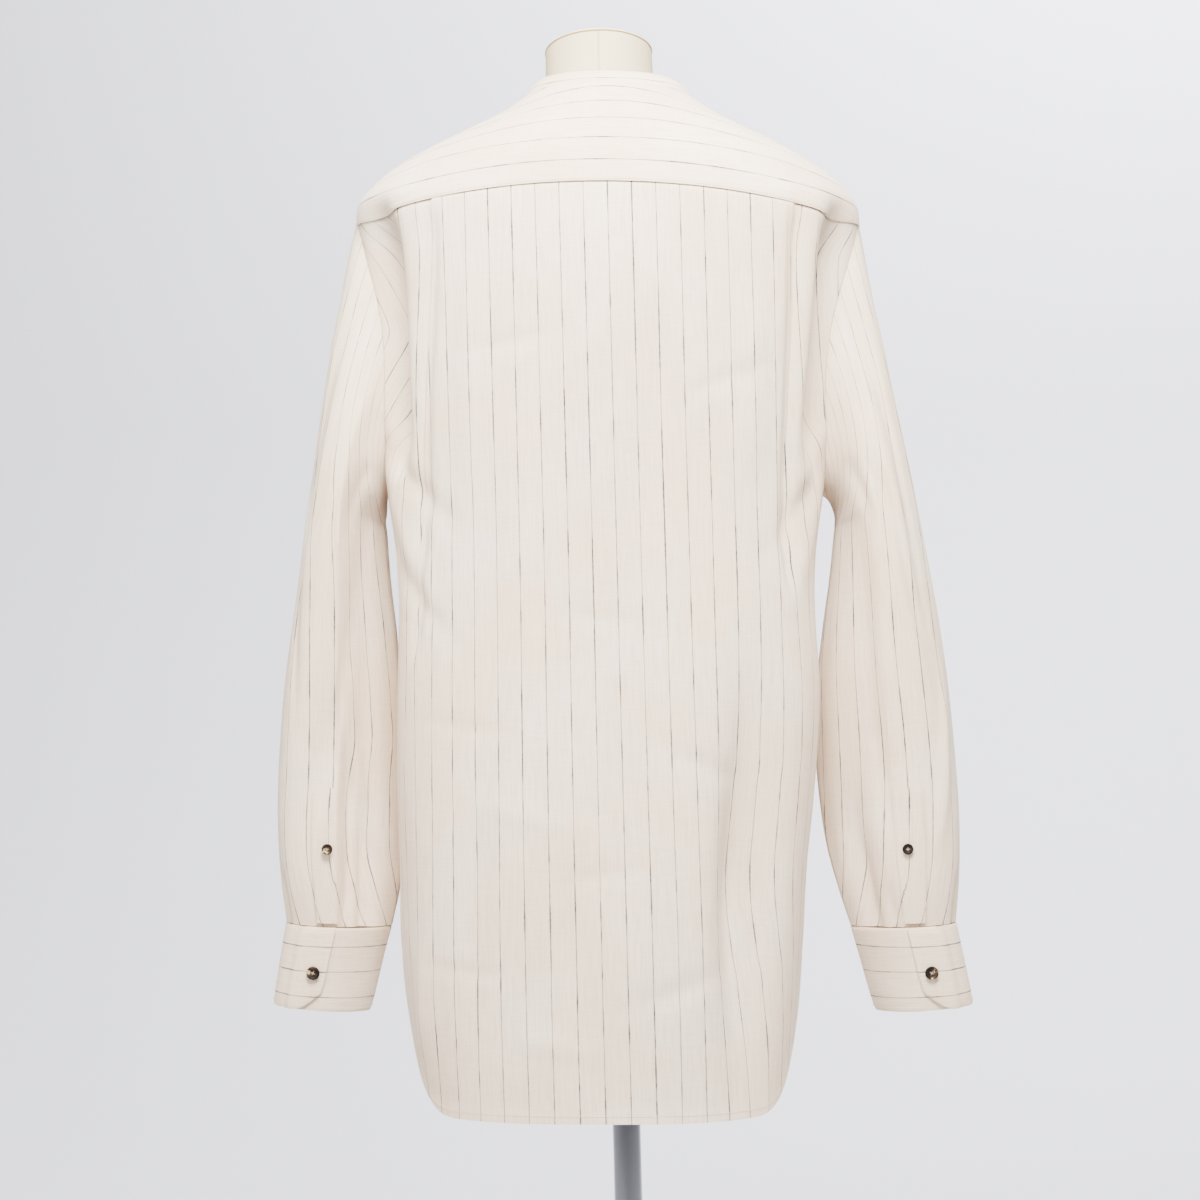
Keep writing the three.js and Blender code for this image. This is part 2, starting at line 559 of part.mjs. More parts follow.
function ringPoint(table, side, place, ring) {
  const at = (name) => column(table, name, ring);
  const angle = radians(place);
  const [across, deep] = [Math.cos(angle), Math.sin(angle)];
  const back = across > 0 ? at("flat") : at("slant");
  const power = lerp(SLEEVE_ROUND, back, smoothstep(deep, 0, BACK_BLEND));
  const shaped = (value) => Math.sign(value) * Math.abs(value) ** power;
  const out = (shaped(across) + 1) / 2;
  const middleY = (at("back") + at("front")) / 2;
  const halfY = (at("back") - at("front")) / 2;
  const x = side * lerp(at(side > 0 ? "left" : "right"), at("outX"), out);
  const z = lerp(at("inZ"), at("outZ"), out) + LEAN * x;
  return new THREE.Vector3(x, middleY + halfY * shaped(deep), z);
}

function ringMiddle(table, side, ring) {
  const a = ringPoint(table, side, 0, ring);
  const b = ringPoint(table, side, 180, ring);
  const y = (column(table, "back", ring) + column(table, "front", ring)) / 2;
  return new THREE.Vector3((a.x + b.x) / 2, y, (a.z + b.z) / 2);
}

const CAP_RINGS = 5; // rings over which the sleeve leaves the armhole's own outline

function sleevePoint(side, place, ring) {
  const point = ringPoint(SLEEVE, side, place, ring);
  const middle = ringMiddle(SLEEVE, side, ring);
  const away = point.clone().sub(middle).normalize();
  point.addScaledVector(away, sleeveFolds(side, place, ring));
  const { turn, z } = armhole(side, place);
  const seam = torsoPoint(turn, z);
  const hole = ringMiddle(SLEEVE, side, 0);
  seam.addScaledVector(hole.sub(seam).normalize(), SEAM_GAP * 3);
  const stay = (1 - clamp(ring / CAP_RINGS, 0, 1)) ** 2;
  return point.add(seam.sub(ringPoint(SLEEVE, side, place, 0)).multiplyScalar(stay));
}

// Places round the sleeve that meet the rows and columns of the panels along the armhole.
function armholePlaces() {
  const back = HIGH_ROWS.map((share) => armholePlace(lerp(UNDERARM, YOKE_BACK_CORNER, share)));
  const front = HIGH_ROWS.map((share) => -armholePlace(lerp(UNDERARM, YOKE_FRONT_CORNER, share)));
  const cap = spread(front.at(-1), back.at(-1), CAP_COLUMNS).slice(1, -1);
  return [-180, ...front, ...cap, ...back.reverse()];
}

function sleeve(side, name, finish) {
  const rings = spread(0, SLEEVE.length - 1, 20);
  const grid = armholePlaces().map((place) => rings.map((ring) => sleevePoint(side, place, ring)));
  const middles = rings.map((ring) => ringMiddle(SLEEVE, side, ring));
  const normals = gridNormals(grid, true, (i, j) => middles[j]);
  return wall(grid, normals, CLOTH, true, name, finish);
}

// A cuff is a band round the wrist whose outer end laps over the other at the back of the arm.
const CUFF_EDGE = 92; // place of the upper end round the wrist

function cuffPoint(side, place, ring, raised) {
  const point = ringPoint(CUFF, side, place, ring);
  const middle = ringMiddle(CUFF, side, ring);
  return point.addScaledVector(point.clone().sub(middle).setZ(0).normalize(), raised);
}

function cuff(side, name, finish) {
  const places = spread(CUFF_EDGE - CUFF_LAP, CUFF_EDGE + 360, 32);
  const deep = ringPoint(CUFF, side, 0, 0).distanceTo(ringPoint(CUFF, side, 0, 2));
  const grid = places.map((place) => {
    const toEnd = CUFF_EDGE + 360 - place;
    const over = CUFF_LAP_RISE * smoothstep(-toEnd, -CUFF_LAP - CUFF_LAP_EASE, -CUFF_LAP);
    const toEdge = radians(toEnd) * WRIST_R;
    const inCorner = clamp(CUFF_CORNER - toEdge, 0, CUFF_CORNER);
    const cut = CUFF_CORNER - Math.sqrt(CUFF_CORNER ** 2 - inCorner ** 2);
    const foot = 2 * (1 - cut / deep);
    return spread(0, foot, 2).map((ring) => cuffPoint(side, place, ring, over));
  });
  const middles = [0, 1, 2].map((ring) => ringMiddle(CUFF, side, ring));
  const normals = gridNormals(grid, false, (i, j) => middles[j]);
  return wall(grid, normals, BAND_CLOTH, false, name, finish);
}

// The strip that edges the sleeve's slit, lying on the sleeve's back.
const PLACKET_TOP = 11.2; // ring of its upper end
const PLACKET_FOOT = 13.9;
const PLACKET_FROM = 79;
const PLACKET_TO = 95;

function sleevePlacket(side, name, finish) {
  const places = spread(PLACKET_FROM, PLACKET_TO, 4);
  const rings = spread(PLACKET_TOP, PLACKET_FOOT, 6);
  const grid = places.map((place) =>
    rings.map((ring) => {
      const point = sleevePoint(side, place, ring);
      const away = point.clone().sub(ringMiddle(SLEEVE, side, ring)).normalize();
      return point.addScaledVector(away, PLACKET_OUT);
    }),
  );
  const normals = gridNormals(grid, false, (i, j) => ringMiddle(SLEEVE, side, rings[j]));
  return wall(grid, normals, CLOTH, false, name, finish);
}

// ---- buttons ----
// A round button with a raised rim and a dished middle, its back against the cloth.
function button(radius, point, normal, name, finish) {
  const profile = [
    [0, 0],
    [radius - 0.8, 0],
    [radius, 0.8],
    [radius, 1.6],
    [radius - 0.9, 2.4],
    [radius - 2, 1.7],
    [0, 1.5],
  ].map(([r, h]) => new THREE.Vector2(r, h));
  const mesh = new THREE.Mesh(new THREE.LatheGeometry(profile, BUTTON_SEGMENTS), look(finish));
  mesh.position.copy(point).addScaledVector(normal, SEAM_GAP);
  mesh.quaternion.setFromUnitVectors(new THREE.Vector3(0, 1, 0), normal);
  mesh.name = name;
  return mesh;
}

function frontButtons(finish) {
  const group = new THREE.Group();
  const turn = frontPlaces(1).at(-2)[0].turn;
  for (let i = 0; i < FRONT_BUTTONS; i++) {
    const z = neckHeight(turn) - FRONT_BUTTON_FIRST - i * FRONT_BUTTON_STEP;
    const point = torsoPoint(turn, z, BAND_SUNK);
    const normal = torsoNormal(turn, z);
    group.add(button(FRONT_BUTTON_R, point, normal, `front_button_${i + 1}`, finish));
  }
  const [low, high] = [collarPoint(180, 0), collarPoint(180, 1)];
  const across = collarPoint(184, 0.5).sub(collarPoint(176, 0.5));
  const normal = high.clone().sub(low).cross(across).normalize();
  if (normal.y > 0) normal.negate();
  group.add(button(SLEEVE_BUTTON_R, collarPoint(180, 0.5), normal, "collar_button", finish));
  return group;
}

const CUFF_BUTTON_PLACE = 84;
const CUFF_BUTTON_RING = 1.34;
const CUFF_BUTTON_OUT = 0.5; // clearance of a flat button over the round cuff
const SLEEVE_BUTTON_PLACE = 88;
const SLEEVE_BUTTON_RING = 11.95;
const SLEEVE_BUTTON_OUT = 0.5;

// The outward normal of a surface at a place round the arm and a ring down it, on the arm's back.
function armNormal(pointAt, place, ring) {
  const spot = pointAt(place, ring);
  const across = pointAt(place + 6, ring).sub(spot);
  const along = pointAt(place, ring + 0.35).sub(spot);
  const normal = across.cross(along).normalize();
  return normal.y < 0 ? normal.negate() : normal;
}

function sleeveButtons(side, word, finish) {
  const group = new THREE.Group();
  const onCuff = (place, ring) => cuffPoint(side, place, ring, CUFF_LAP_RISE);
  const onSleeve = (place, ring) => sleevePoint(side, place, ring);
  const cuffNormal = armNormal(onCuff, CUFF_BUTTON_PLACE, CUFF_BUTTON_RING);
  const cuffSpot = onCuff(CUFF_BUTTON_PLACE, CUFF_BUTTON_RING);
  cuffSpot.addScaledVector(cuffNormal, CUFF_BUTTON_OUT);
  group.add(button(CUFF_BUTTON_R, cuffSpot, cuffNormal, `cuff_button_${word}`, finish));
  const normal = armNormal(onSleeve, SLEEVE_BUTTON_PLACE, SLEEVE_BUTTON_RING);
  const spot = onSleeve(SLEEVE_BUTTON_PLACE, SLEEVE_BUTTON_RING);
  spot.addScaledVector(normal, PLACKET_OUT + SLEEVE_BUTTON_OUT);
  group.add(button(SLEEVE_BUTTON_R, spot, normal, `sleeve_button_${word}`, finish));
  return group;
}

// ---- dress form and stand ----
function formRing(z, tilt) {
  return spread(0, 360, 28)
    .slice(0, -1)
    .map((turn) => {
      const reach = sectionReach(FORM, turn, z);
      const angle = radians(turn);
      const y = reach * Math.cos(angle);
      return new THREE.Vector3(reach * Math.sin(angle), y, z + tilt * y);
    });
}

function dressForm(finish) {
  const tilts = new Map([
    [NECK_TOP, NECK_TILT],
    [NECK_FOOT, NECK_TILT * 0.4],
  ]);
  const rings = FORM.map((row) => formRing(row.z, tilts.get(row.z) ?? 0));
  return loft(rings, "form", finish);
}

function neckCap(finish) {
  const profile = [
    [0, 0],
    [CAP_R, 0],
    [CAP_R, CAP_RIM],
  ];
  for (const angle of [27, 48, 69]) {
    const [out, up] = [Math.cos(radians(angle)), Math.sin(radians(angle))];
    profile.push([CAP_R * out, CAP_RIM + CAP_RISE * up]);
  }
  profile.push([0, CAP_RIM + CAP_RISE]);
  const outline = profile.map(([r, h]) => new THREE.Vector2(r, h));
  const mesh = new THREE.Mesh(new THREE.LatheGeometry(outline, 32), look(finish));
  mesh.rotation.x = Math.PI / 2 + Math.atan(NECK_TILT);
  mesh.position.set(0, 0, NECK_TOP + SEAM_GAP);
  mesh.name = "neck_cap";
  return mesh;
}

function turned(profile, segments, name, finish) {
  const outline = profile.map(([r, h]) => new THREE.Vector2(r, h));
  const mesh = new THREE.Mesh(new THREE.LatheGeometry(outline, segments), look(finish));
  mesh.rotation.x = Math.PI / 2;
  mesh.name = name;
  return mesh;
}

const BASE_PROFILE = [
  [0, 0],
  [BASE_R - 1, 0],
  [BASE_R, 1],
  [BASE_R, 5],
  [BASE_R - 2, 7],
  [40, BASE_H - 2],
  [24, BASE_H],
  [0, BASE_H],
];

function stand(finish) {
  const group = new THREE.Group();
  const foot = BASE_H + SEAM_GAP;
  const top = FORM_BOTTOM - SEAM_GAP;
  const pole = [
    [0, foot],
    [POLE_R, foot],
    [POLE_R, top],
    [0, top],
  ];
  group.add(turned(pole, 24, "pole", finish), turned(BASE_PROFILE, 36, "base", finish));
  return group;
}

// ---- the whole ----

const shirt = new THREE.Group();
shirt.add(
  backPanel("linen"),
  yoke("linen"),
  frontPanel(1, "front_left", "linen"),
  frontPanel(-1, "front_right", "linen"),
  frontBand("linen"),
  collarBand("linen"),
);
for (const [side, word] of [
  [1, "left"],
  [-1, "right"],
]) {
  shirt.add(
    sleeve(side, `sleeve_${word}`, "linen"),
    cuff(side, `cuff_${word}`, "linen"),
    sleevePlacket(side, `sleeve_placket_${word}`, "linen"),
    sleeveButtons(side, word, "horn"),
  );
}
shirt.add(frontButtons("horn"));

const part = new THREE.Group();
part.add(shirt, dressForm("cover"), neckCap("cover"), stand("chrome"));

export default part;
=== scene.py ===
"""A long-sleeved striped linen shirt with a band collar, buttoned up on a limbless dress form.

The cloth is laid out from the sizes that the CAD part uses, in millimetres, on a finer net, with
creases, pleats, seams, stitching and buttons added. Turn is the angle round the body in degrees:
0 at the centre back (+Y), 90 at the wearer's left side (+X), 180 at the centre front.
"""

import math

import bpy
import numpy as np
from mathutils import Matrix, Vector


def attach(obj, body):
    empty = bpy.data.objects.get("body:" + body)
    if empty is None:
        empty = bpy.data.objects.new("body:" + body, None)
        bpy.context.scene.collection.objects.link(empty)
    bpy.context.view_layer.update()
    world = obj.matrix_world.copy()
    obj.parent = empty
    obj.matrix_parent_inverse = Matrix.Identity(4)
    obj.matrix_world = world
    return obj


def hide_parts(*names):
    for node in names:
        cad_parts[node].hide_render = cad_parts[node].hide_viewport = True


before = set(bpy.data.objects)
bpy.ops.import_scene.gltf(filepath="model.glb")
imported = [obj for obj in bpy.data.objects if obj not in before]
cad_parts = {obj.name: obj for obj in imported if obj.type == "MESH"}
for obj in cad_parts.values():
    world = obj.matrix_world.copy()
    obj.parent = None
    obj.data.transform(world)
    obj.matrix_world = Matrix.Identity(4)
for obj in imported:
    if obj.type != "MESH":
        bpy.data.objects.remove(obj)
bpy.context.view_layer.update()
MM = 0.001

# ---- driving dimensions, in millimetres and degrees ----
CLOTH = 0.9
BAND_CLOTH = 1.8
HEM_BACK, HEM_FRONT, HEM_SIDE = 614, 640, 738
HEM_TURNS = {"back": 47, "front": 50, "side": 91}
HEM_ROUND = 1.6
HEM_FOLD = 7  # depth of the turned-up hem
YOKE_SEAM, YOKE_SEAM_FALL, YOKE_SAG = 1346, 0.0006, 8
YOKE_CORNER_TURNS = (62, 82)
YOKE_BACK_CORNER, YOKE_FRONT_CORNER = 1324, 1300
YOKE_NECK_TURN = 125
NECK_SEAM, NECK_DIP, NECK_BACK_TURN = 1429, 26, 76
BAND_RISE = 15
UNDERARM, SHOULDER_POINT = 1105, 1339
ARMHOLE_BACK, ARMHOLE_FRONT, ARMHOLE_ROUND = 13, 18, 0.85
FRONT_EDGE_TURN, FRONT_UNDER_SHORT = 187, 1.5
UNDERLAP, UNDERLAP_TURNS = 2.4, (166, 172)
CUFF_EDGE, CUFF_LAP, CUFF_LAP_RISE, CUFF_LAP_EASE = 92, 26, 2.8, 16
CUFF_CORNER, WRIST_R = 17, 40
FRONT_BUTTONS = 7
STRIPE_STEP = 20
LEAN = 0.026  # how much higher the shirt hangs for each mm towards the wearer's left


def table(names, *rows):
    """A table's columns by name."""
    return dict(zip(names.split(), np.array(rows, float).T))


BODY = table(
    "z shift half back front round",
    (600, 17, 149, 127, 116, 2.9),
    (668, 16.5, 156, 127, 120, 2.9),
    (740, 16, 163, 126, 122, 2.9),
    (800, 13.5, 168, 124, 122, 2.9),
    (860, 10, 173, 121, 120, 2.9),
    (940, 5.5, 176, 117, 116, 2.9),
    (1020, 5, 174, 114, 115, 2.8),
    (1100, 4, 177, 114, 119, 2.6),
    (1180, 1, 188, 117, 123, 2.5),
    (1260, -3, 197, 121, 120, 2.4),
    (1310, -4, 203, 122, 115, 2.4),
    (1340, -4, 203, 120.5, 108, 2.4),
    (1357, -4.5, 191, 118, 102, 2.3),
    (1372, -5, 172, 113.5, 95, 2.3),
    (1387, -6, 147, 106, 88, 2.2),
    (1402, -6.5, 116, 96.5, 80, 2.2),
    (1416, -7, 89, 84.5, 71, 2.1),
    (1431, -7, 68, 69, 62, 2),
)

# Folds that run down the body: in is negative, wide is the half-width in degrees.
BODY_FOLDS = table(
    "head headTurn foot footTurn deep wide fade",
    (1352, 71, 1112, 71, -26, 5, 60),
    (1352, -72, 1112, -72, -26, 5, 60),
    (1110, 97, 740, 97, -13, 17, 90),
    (1110, -97, 740, -97, -13, 17, 90),
    (1030, -49, 560, -46, -27, 8, 260),
    (1240, 30, 700, 27, 4, 9, 160),
    (1120, -22, 620, -27, 5, 10, 160),
    (1330, 124, 900, 132, -8, 9, 140),
    (1330, -128, 860, -134, -7, 9, 140),
    (980, 150, 600, 147, -14, 9, 180),
    (940, -146, 600, -150, -12, 9, 180),
    (1340, 54, 960, 64, -5, 2.4, 40),
    (1340, -57, 1010, -62, -6, 2.4, 40),
    (1330, 44, 1060, 47, 2.5, 4, 90),
    (1300, -47, 1080, -50, 3, 5, 90),
    (900, 40, 640, 43, -4, 5, 120),
    (860, 12, 640, 10, -3, 6, 110),
    (830, -10, 640, -13, 3, 5, 90),
    (760, 58, 620, 62, 5, 5, 70),
    (1180, 8, 900, 6, -2, 6, 110),
    (1290, -20, 1050, -16, -2, 5, 100),
)

# Soft creases across the cloth: from and to, as turn and height, depth, half-width in mm.
CREASES = table(
    "turnA zA turnB zB deep wide",
    (80, 1150, 52, 1080, -3.5, 9),
    (78, 1120, 58, 1020, 3, 10),
    (76, 1060, 50, 985, -2, 8),
    (-80, 1140, -56, 1060, -3.5, 9),
    (-78, 1105, -60, 1015, 2.5, 10),
    (60, 925, 34, 915, -1.2, 5),
    (58, 733, 30, 727, -1.4, 4),
    (44, 1215, 22, 1228, -1.2, 7),
    (-30, 1180, -52, 1205, -1.4, 8),
    (20, 1010, -12, 1002, -1, 6),
    (-18, 905, -44, 880, -1.6, 8),
    (14, 800, -16, 812, -1.2, 7),
    (40, 860, 12, 842, 1.4, 9),
    (-8, 700, -40, 730, -1.6, 8),
    (30, 680, 4, 668, 1.3, 8),
    (110, 1180, 150, 1120, -2.5, 9),
    (112, 1050, 148, 1010, -2, 9),
    (-110, 1170, -150, 1120, -2.5, 9),
    (-114, 960, -150, 990, -2, 9),
    (120, 800, 165, 780, -1.8, 8),
    (-120, 760, -160, 790, -1.8, 8),
)

PLEAT = {1: (54, 67, 900), -1: (-57, -62, 1010)}  # turn at the head and foot, height of the foot

SLEEVE = table(
    "outX outZ left right inZ back front flat slant",
    (204, 1339, 178, 178, 1105, 42, -60, 0.92, 0.92),
    (210, 1308, 181, 181, 1102, 46, -64, 0.86, 0.96),
    (217, 1270, 183, 183, 1098, 50, -70, 0.78, 1.02),
    (225, 1228, 184, 184, 1094, 54, -76, 0.7, 1.1),
    (232, 1184, 185, 185, 1089, 57, -80, 0.64, 1.18),
    (240, 1138, 186, 185, 1083, 58, -82, 0.6, 1.24),
    (248, 1092, 185, 184, 1074, 57, -83, 0.58, 1.3),
    (256, 1044, 183, 179, 1036, 54, -82, 0.58, 1.34),
    (264, 996, 179, 172, 992, 49, -80, 0.58, 1.36),
    (271, 948, 177, 166, 946, 45, -77, 0.58, 1.36),
    (276, 902, 176, 164, 901, 42, -73, 0.58, 1.36),
    (279, 858, 176, 166, 857, 40, -67, 0.58, 1.36),
    (279, 818, 177, 171, 817, 38, -59, 0.58, 1.34),
    (277, 785, 181, 179, 784, 36, -50, 0.62, 1.28),
    (274, 757.6, 188, 188, 753.6, 33, -41, 0.68, 1.2),
)
SLEEVE_FOLDS = table(
    "side head headAt foot footAt deep wide",
    (1, 0.5, 62, 8, 22, -5, 11),
    (1, 1, 98, 7, 82, 5, 12),
    (1, 7, 118, 12, 66, -5, 12),
    (1, 9, -40, 13, -90, -5, 13),
    (1, 11, 128, 15, 126, -6, 10),
    (-1, 0.5, 70, 9, 48, -5, 11),
    (-1, 2, 30, 10, 14, 4, 10),
    (-1, 6, 124, 12, 96, -6, 12),
    (-1, 9, -36, 13, -96, -5, 13),
    (-1, 11, 134, 15, 130, -6, 10),
    (1, 5, 20, 9.5, 58, -3, 7),
    (1, 8.5, 96, 12, 140, 3, 8),
    (1, 12.5, 30, 15, 34, -2.6, 6),
    (1, 12.8, 104, 15, 101, -3, 6),
    (1, 4, 130, 13.9, 126, -13, 28),
    (1, 9.4, 108, 13.9, 105, -8, 9),
    (-1, 6, 130, 15.5, 126, -3, 20),
    (1, 2.5, 128, 6.5, 104, -3, 8),
    (-1, 4, 98, 8.5, 60, -3, 7),
    (-1, 8.5, 30, 12, 66, 3, 8),
    (-1, 12.6, 28, 15, 33, -2.6, 6),
    (-1, 12.8, 108, 15, 104, -3, 6),
    (-1, 2.5, 126, 6, 108, -3, 8),
    (1, 3, -60, 8, -100, -3.5, 9),
    (-1, 3, -64, 8, -104, -3.5, 9),
)
CUFF = table(
    "outX outZ left right inZ back front flat slant",
    (274.5, 757, 188, 188, 753, 34, -42, 0.68, 1.2),
    (279, 734, 195, 194, 730, 33.5, -41, 0.68, 1.2),
    (287, 691, 207, 206, 684, 32, -39, 0.68, 1.2),
)
FORM = table(
    "z half back front round",
    (684, 100, 80, 76, 2.3),
    (689, 116, 91, 87, 2.3),
    (708, 126, 99, 95, 2.3),
    (770, 130, 103, 99, 2.3),
    (840, 130, 101, 98, 2.3),
    (910, 123, 94, 92, 2.3),
    (990, 116, 86, 88, 2.2),
    (1060, 122, 89, 95, 2.2),
    (1140, 136, 98, 104, 2.2),
    (1220, 148, 107, 107, 2.2),
    (1290, 160, 113, 101, 2.1),
    (1330, 171, 112, 92, 2.1),
    (1348, 165, 109, 88, 2.1),
    (1362, 150, 104, 83, 2.1),
    (1378, 124, 97, 76, 2.1),
    (1393, 98, 87, 68, 2),
    (1407, 77, 74, 59, 2),
    (1420, 58, 60, 52, 2),
    (1434, 47, 48, 46, 2),
    (1446, 44.3, 44.3, 44.3, 2),
    (1467, 43.5, 43.5, 43.5, 2),
)
FORM_BOTTOM, NECK_TOP, NECK_TILT, NECK_TILT_FOOT = 684, 1467, 0.25, 1434
CAP_R, CAP_RIM, CAP_RISE = 44.1, 1.5, 7
POLE_R, BASE_R, BASE_H = 11.5, 160, 14

# Points in the nets, across and then along the cloth; the panels' along are below and above
# the underarm, and the cuff's across are before and in its finer end.
BACK_NET, FRONT_NET, BAND_NET, YOKE_NET = (96, 74), (110, 90, 60), (20, 150), (34, 60)
COLLAR_NET, SLEEVE_NET, CUFF_NET, PLACKET_NET = (260, 22), (128, 186), (150, 40, 28), (24, 60)
ROUND = {"button": 40, "hole": 12, "thread": 8, "cap": 72, "pole": 64, "base": 128}


# ---- curves and surfaces ----
def mix(a, b, t):
    return a + (b - a) * t


def smoothstep(x, low, high):
    t = np.clip((np.asarray(x, float) - low) / (high - low), 0, 1)
    return t * t * (3 - 2 * t)


def bell(offset, width):
    return np.exp(-((offset / width) ** 2))


def unit(vectors):
    return vectors / np.maximum(np.linalg.norm(vectors, axis=-1, keepdims=True), 1e-9)


def curve(keys, values, place):
    """The smooth curve through a table's column, at places between its rows."""
    place = np.clip(np.asarray(place, float), keys[0], keys[-1])
    row = np.clip(np.searchsorted(keys, place, side="right") - 1, 0, len(keys) - 2)
    before = np.maximum(np.arange(len(keys)) - 1, 0)
    after = np.minimum(np.arange(len(keys)) + 1, len(keys) - 1)
    slopes = (values[after] - values[before]) / (keys[after] - keys[before])
    step = keys[row + 1] - keys[row]
    t = (place - keys[row]) / step
    return (
        values[row] * (1 + 2 * t) * (1 - t) ** 2
        + values[row + 1] * t * t * (3 - 2 * t)
        + slopes[row] * step * t * (1 - t) ** 2
        - slopes[row + 1] * step * t * t * (1 - t)
    )


def steps_between(stops, counts):
    """Places from stop to stop, each span divided into as many as its count says."""
    spans = zip(stops, stops[1:], counts)
    return np.unique(np.concatenate([np.linspace(a, b, n) for a, b, n in spans]))


def body(name, z):
    return curve(BODY["z"], BODY[name], z)


def section_reach(sizes, turn, z):
    """The reach from the axis of a table's section at a height, in a direction."""
    ahead, aside = np.cos(np.radians(turn)), np.sin(np.radians(turn))
    at = {name: curve(sizes["z"], sizes[name], z) for name in ("half", "back", "front", "round")}
    deep = np.where(ahead >= 0, at["back"], at["front"])
    power = at["round"]
    return (np.abs(aside / at["half"]) ** power + np.abs(ahead / deep) ** power) ** (-1 / power)


def wrap(turn):
    return (np.asarray(turn, float) + 180) % 360 - 180


def rows_of(sizes):
    return [dict(zip(sizes, row)) for row in zip(*sizes.values())]


def body_folds(turn, z):
    out = 0
    for fold in rows_of(BODY_FOLDS):
        along = np.clip((fold["head"] - z) / (fold["head"] - fold["foot"]), 0, 1)
        line = mix(fold["headTurn"], fold["footTurn"], along)
        alive = smoothstep(fold["head"] - z, 0, fold["fade"])
        alive = alive * smoothstep(z - fold["foot"], 0, fold["fade"])
        out = out + fold["deep"] * alive * bell(wrap(turn - line), fold["wide"])
    return out


MM_PER_TURN = 2.5  # cloth round the body for each degree, near enough for a crease
CREASE_ENDS = (0.12, 0.88)  # the part of a sine wave that a crease's depth follows


def creases(turn, z):
    out = 0
    for crease in rows_of(CREASES):
        ax, bx = crease["turnA"] * MM_PER_TURN, crease["turnB"] * MM_PER_TURN
        dx, dz = bx - ax, crease["zB"] - crease["zA"]
        px, pz = wrap(turn) * MM_PER_TURN - ax, z - crease["zA"]
        along = np.clip((px * dx + pz * dz) / (dx * dx + dz * dz), 0, 1)
        off = np.hypot(px - along * dx, pz - along * dz)
        deep = crease["deep"] * np.sin(np.pi * mix(*CREASE_ENDS, along))
        out = out + deep * bell(off, crease["wide"])
    return out


def torso_point(turn, z, raised=0.0):
    """Points of the shirt's outer surface, raised above it by a depth."""
    reach = section_reach(BODY, turn, z) + body_folds(turn, z) + creases(turn, z) + raised
    angle = np.radians(turn)
    x = body("shift", z) + reach * np.sin(angle)
    return np.stack([x, reach * np.cos(angle), z + LEAN * x], axis=-1)


def armhole(side, place):
    """The armhole's turn and height: 0 at the shoulder point, 90 back, 180 underarm."""
    aside = np.sin(np.radians(place))
    reach = np.where(aside >= 0, -ARMHOLE_BACK, ARMHOLE_FRONT)
    z = mix(UNDERARM, SHOULDER_POINT, (1 + np.cos(np.radians(place))) / 2)
    return side * (90 + reach * np.abs(aside) ** ARMHOLE_ROUND), z


def armhole_place(z):
    up = (np.asarray(z, float) - UNDERARM) / (SHOULDER_POINT - UNDERARM)
    return np.degrees(np.arccos(np.clip(2 * up - 1, -1, 1)))


def back_edge(z):
    return np.where(z <= UNDERARM, 90.0, armhole(1, armhole_place(z))[0])


def front_edge(z):
    return np.where(z <= UNDERARM, 90.0, armhole(1, -armhole_place(z))[0])


def hem_height(turn):
    away = np.abs(wrap(turn))
    tail = np.where(away <= 90, HEM_BACK, HEM_FRONT)
    rise = np.where(
        away <= 90,
        smoothstep(away, HEM_TURNS["back"], HEM_TURNS["side"]),
        smoothstep(180 - away, HEM_TURNS["front"], HEM_TURNS["side"]),
    )
    return mix(tail, HEM_SIDE, rise**HEM_ROUND)


def yoke_seam_height(turn):
    z = YOKE_SEAM - YOKE_SAG + 0 * np.asarray(turn, float)
    aside = body("shift", z) + section_reach(BODY, turn, z) * np.sin(np.radians(turn))
    fallen = YOKE_SEAM - YOKE_SEAM_FALL * aside * aside
    return mix(fallen, YOKE_BACK_CORNER, smoothstep(np.abs(turn), *YOKE_CORNER_TURNS))


def neck_height(turn):
    return NECK_SEAM - NECK_DIP * smoothstep(np.abs(wrap(turn)), NECK_BACK_TURN, 180)


FRONT_CORNER_TURN = float(front_edge(YOKE_FRONT_CORNER))


def front_top(turn):
    away = np.abs(turn)
    along = np.clip((away - FRONT_CORNER_TURN) / (YOKE_NECK_TURN - FRONT_CORNER_TURN), 0, 1)
    seam = mix(YOKE_FRONT_CORNER, neck_height(YOKE_NECK_TURN), along)
    return np.where(away >= YOKE_NECK_TURN, neck_height(turn), seam)


# ---- meshes ----
CLOTH_CREASE, TURNED_CREASE, FORM_CREASE = 55, 40, 50  # least angle of a sharp edge


def grid_normals(grid, closed, middle):
    """Unit normals of a net of points, turned away from points inside it."""
    if closed:
        across = np.roll(grid, -1, axis=0) - np.roll(grid, 1, axis=0)
    else:
        across = np.gradient(grid, axis=0)
    normals = unit(np.cross(across, np.gradient(grid, axis=1)))
    inward = np.sum(normals * (grid - middle), axis=2) < 0
    normals[inward] *= -1
    return normals


def add_object(name, data):
    thing = bpy.data.objects.new(name, data)
    bpy.context.scene.collection.objects.link(thing)
    return thing


def smooth_mesh(name, points, faces, material):
    mesh = bpy.data.meshes.new(name)
    mesh.from_pydata(points, [], faces)
    mesh.polygons.foreach_set("use_smooth", np.ones(len(faces), bool))
    mesh.materials.append(material)
    return mesh


